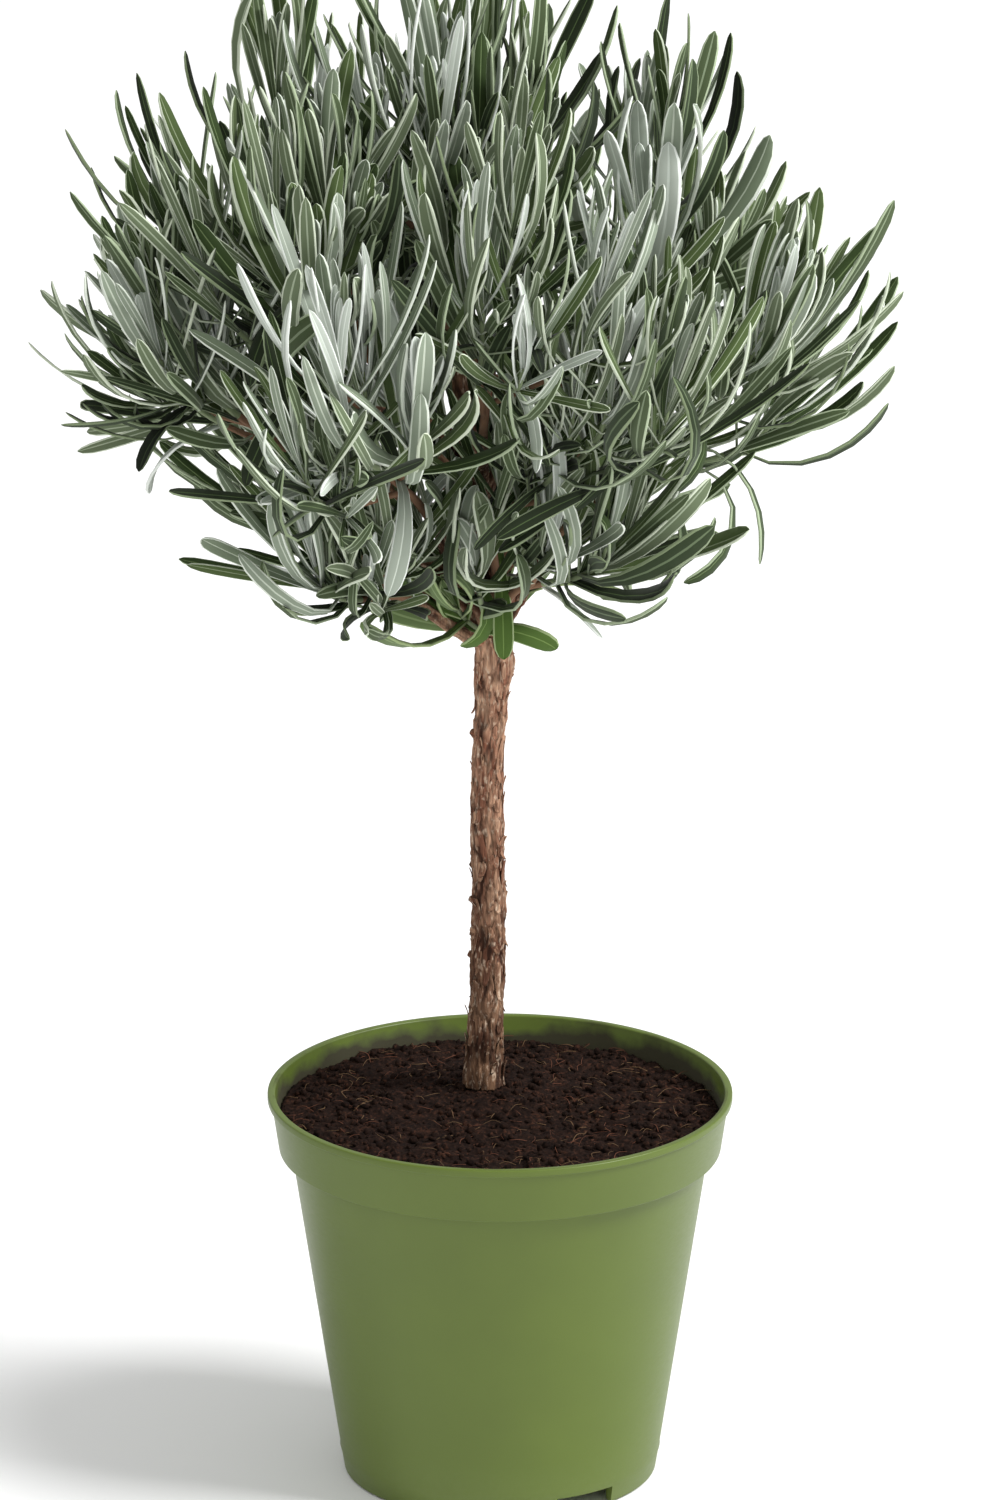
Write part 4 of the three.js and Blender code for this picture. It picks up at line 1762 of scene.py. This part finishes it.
    def twig_piece(self, shoots: list[Shoot], nodes: list[str]) -> None:
        """Joins the woody and green stems of every shoot into one piece.

        Args:
            shoots: the shoots.
            nodes: the frame's nodes that they stand for.
        """
        tube = Template.tube(self.twig_sides, self.twig_rows)
        copies = np.array([tube.along(shoot.line, self.twig_rows) for shoot in shoots])
        height = tube.places[tube.faces].mean(axis=1)[:, 2]
        slots = np.array([
            np.where(height < (self.woody_share if shoot.twig else 0.0), 0, 1) for shoot in shoots
        ])
        materials = [
            PlainFinish("twig_woody", linear(128, 98, 76), 0.85).material(),
            PlainFinish("twig_green", linear(126, 140, 104), 0.8, 0.2).material(),
        ]
        piece = piece_from_arrays("twigs", copies, tube.faces, slots, materials)
        settle(piece, "foliage", *nodes)

    def build(self) -> None:
        """Grows every shoot and joins the leaves, piece by piece."""
        shape = LeafShape()
        materials, table = self.palette()
        order = {tint: row for row, tint in enumerate(Tint)}
        groups: dict[str, list[Leaf]] = {}
        nodes: dict[str, list[str]] = {}
        stems = []
        for mass in self.masses:
            group = self.group_of(mass)
            nodes.setdefault(group, []).append(mass.node)
            leaves = groups.setdefault(group, [])
            for shoot in self.shoots_of(mass):
                stems.append(shoot)
                own, sprigs = self.leaves_of(shoot)
                leaves.extend(own)
                for sprig in sprigs:
                    stems.append(sprig)
                    leaves.extend(self.leaves_of(sprig)[0])
        groups["low"].extend(self.fork_leaves())
        for shoot in self.fork_sprigs() + self.inner_shoots():
            stems.append(shoot)
            groups["low"].extend(self.leaves_of(shoot)[0])
        low, high = (np.array(corner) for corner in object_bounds())
        faces = shape.template.faces
        for group, leaves in groups.items():
            places = shape.lay(leaves)
            kept = (places > low - self.overhang).all(axis=(1, 2))
            kept &= (places < high + self.overhang).all(axis=(1, 2))
            kept &= (places[:, :, 2] > self.underside(places)).all(axis=1)
            tints = np.array([order[leaf.tint] for leaf in leaves])
            slots = table[tints][:, shape.template.roles]
            piece = piece_from_arrays(f"leaves_{group}", places[kept], faces, slots[kept], materials)
            settle(piece, "foliage", *nodes[group])
            LOG.info("%s: %d of %d leaves kept", piece.name, kept.sum(), len(leaves))
        self.twig_piece(stems, [mass.node for mass in self.masses])


# ---------------------------------------------------------------- studio


@dataclass(frozen=True)
class SoftBox:
    """A square lamp: where it stands, in degrees and metres, its size, and its power in watts."""

    name: str
    azimuth: float
    rise: float
    distance: float
    size: float
    power: float


@dataclass
class Studio:
    """A plain pale floor, soft light from the right, and the camera."""

    pot: NurseryPot
    distance: float = 6.0
    elevation: float = math.radians(19.9)
    lens: float = 393.9
    pitch: float = math.radians(18.71)
    aim_height: float = 0.3
    floor_size: float = 8.0
    floor_drop: float = 0.5 * MM
    surround: float = 0.63
    key: SoftBox = SoftBox("key", -18.0, 46.0, 5.0, 1.9, 300.0)
    fill: SoftBox = SoftBox("fill", -100.0, 40.0, 5.0, 1.6, 20.0)

    def floor(self) -> None:
        """A large pale floor under the pot."""
        mesh = bmesh.new()
        bmesh.ops.create_grid(mesh, x_segments=1, y_segments=1, size=self.floor_size)
        bmesh.ops.translate(mesh, verts=mesh.verts, vec=(0.0, 0.0, -self.floor_drop))
        pale = PlainFinish("floor_pale", (0.95, 0.95, 0.95), 0.9).material()
        floor = piece_from("floor", mesh, [pale])
        floor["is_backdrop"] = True

    def lamp(self, box: SoftBox) -> None:
        """Sets up a lamp that looks at the plant.

        Args:
            box: the lamp.
        """
        light = bpy.data.lights.new(box.name, "AREA")
        light.size = box.size
        light.energy = box.power
        lamp = added(box.name, light)
        aim = self.pot.axis + UP * self.aim_height
        away = heading(math.radians(box.azimuth), math.radians(box.rise))
        lamp.location = aim + away * box.distance
        lamp.rotation_euler = (aim - lamp.location).to_track_quat("-Z", "Y").to_euler()

    def sky(self) -> None:
        """An even white surround."""
        world = bpy.data.worlds.new("surround")
        world.use_nodes = True
        background = world.node_tree.nodes["Background"]
        background.inputs["Color"].default_value = (1.0, 1.0, 1.0, 1.0)
        background.inputs["Strength"].default_value = self.surround
        bpy.context.scene.world = world

    def camera(self) -> None:
        """A long lens from the front, looking down on the pot's rim."""
        data = bpy.data.cameras.new("camera")
        data.lens = self.lens
        data.sensor_width = 36.0
        data.clip_end = 50.0
        camera = added("camera", data)
        rim = self.pot.axis + UP * self.pot.height
        back = heading(-math.pi / 2.0, self.elevation)
        camera.location = rim + back * self.distance
        camera.rotation_euler = (math.pi / 2.0 - self.pitch, 0.0, 0.0)
        bpy.context.scene.camera = camera

    def build(self) -> None:
        """Sets up the floor, the lights and the camera."""
        self.floor()
        self.sky()
        self.lamp(self.key)
        self.lamp(self.fill)
        self.camera()
        bpy.context.scene.view_settings.view_transform = "Standard"


def main() -> None:
    """Builds the plant, piece by piece, and the studio round it."""
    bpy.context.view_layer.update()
    pot = NurseryPot()
    wood = WoodyFrame()
    Studio(pot).build()
    pot.build()
    Compost(pot, wood.foot).build()
    wood.build()
    LavenderHead(wood).build()


if __name__ == "__main__":
    logging.basicConfig(level=logging.INFO, format="%(message)s")
    main()
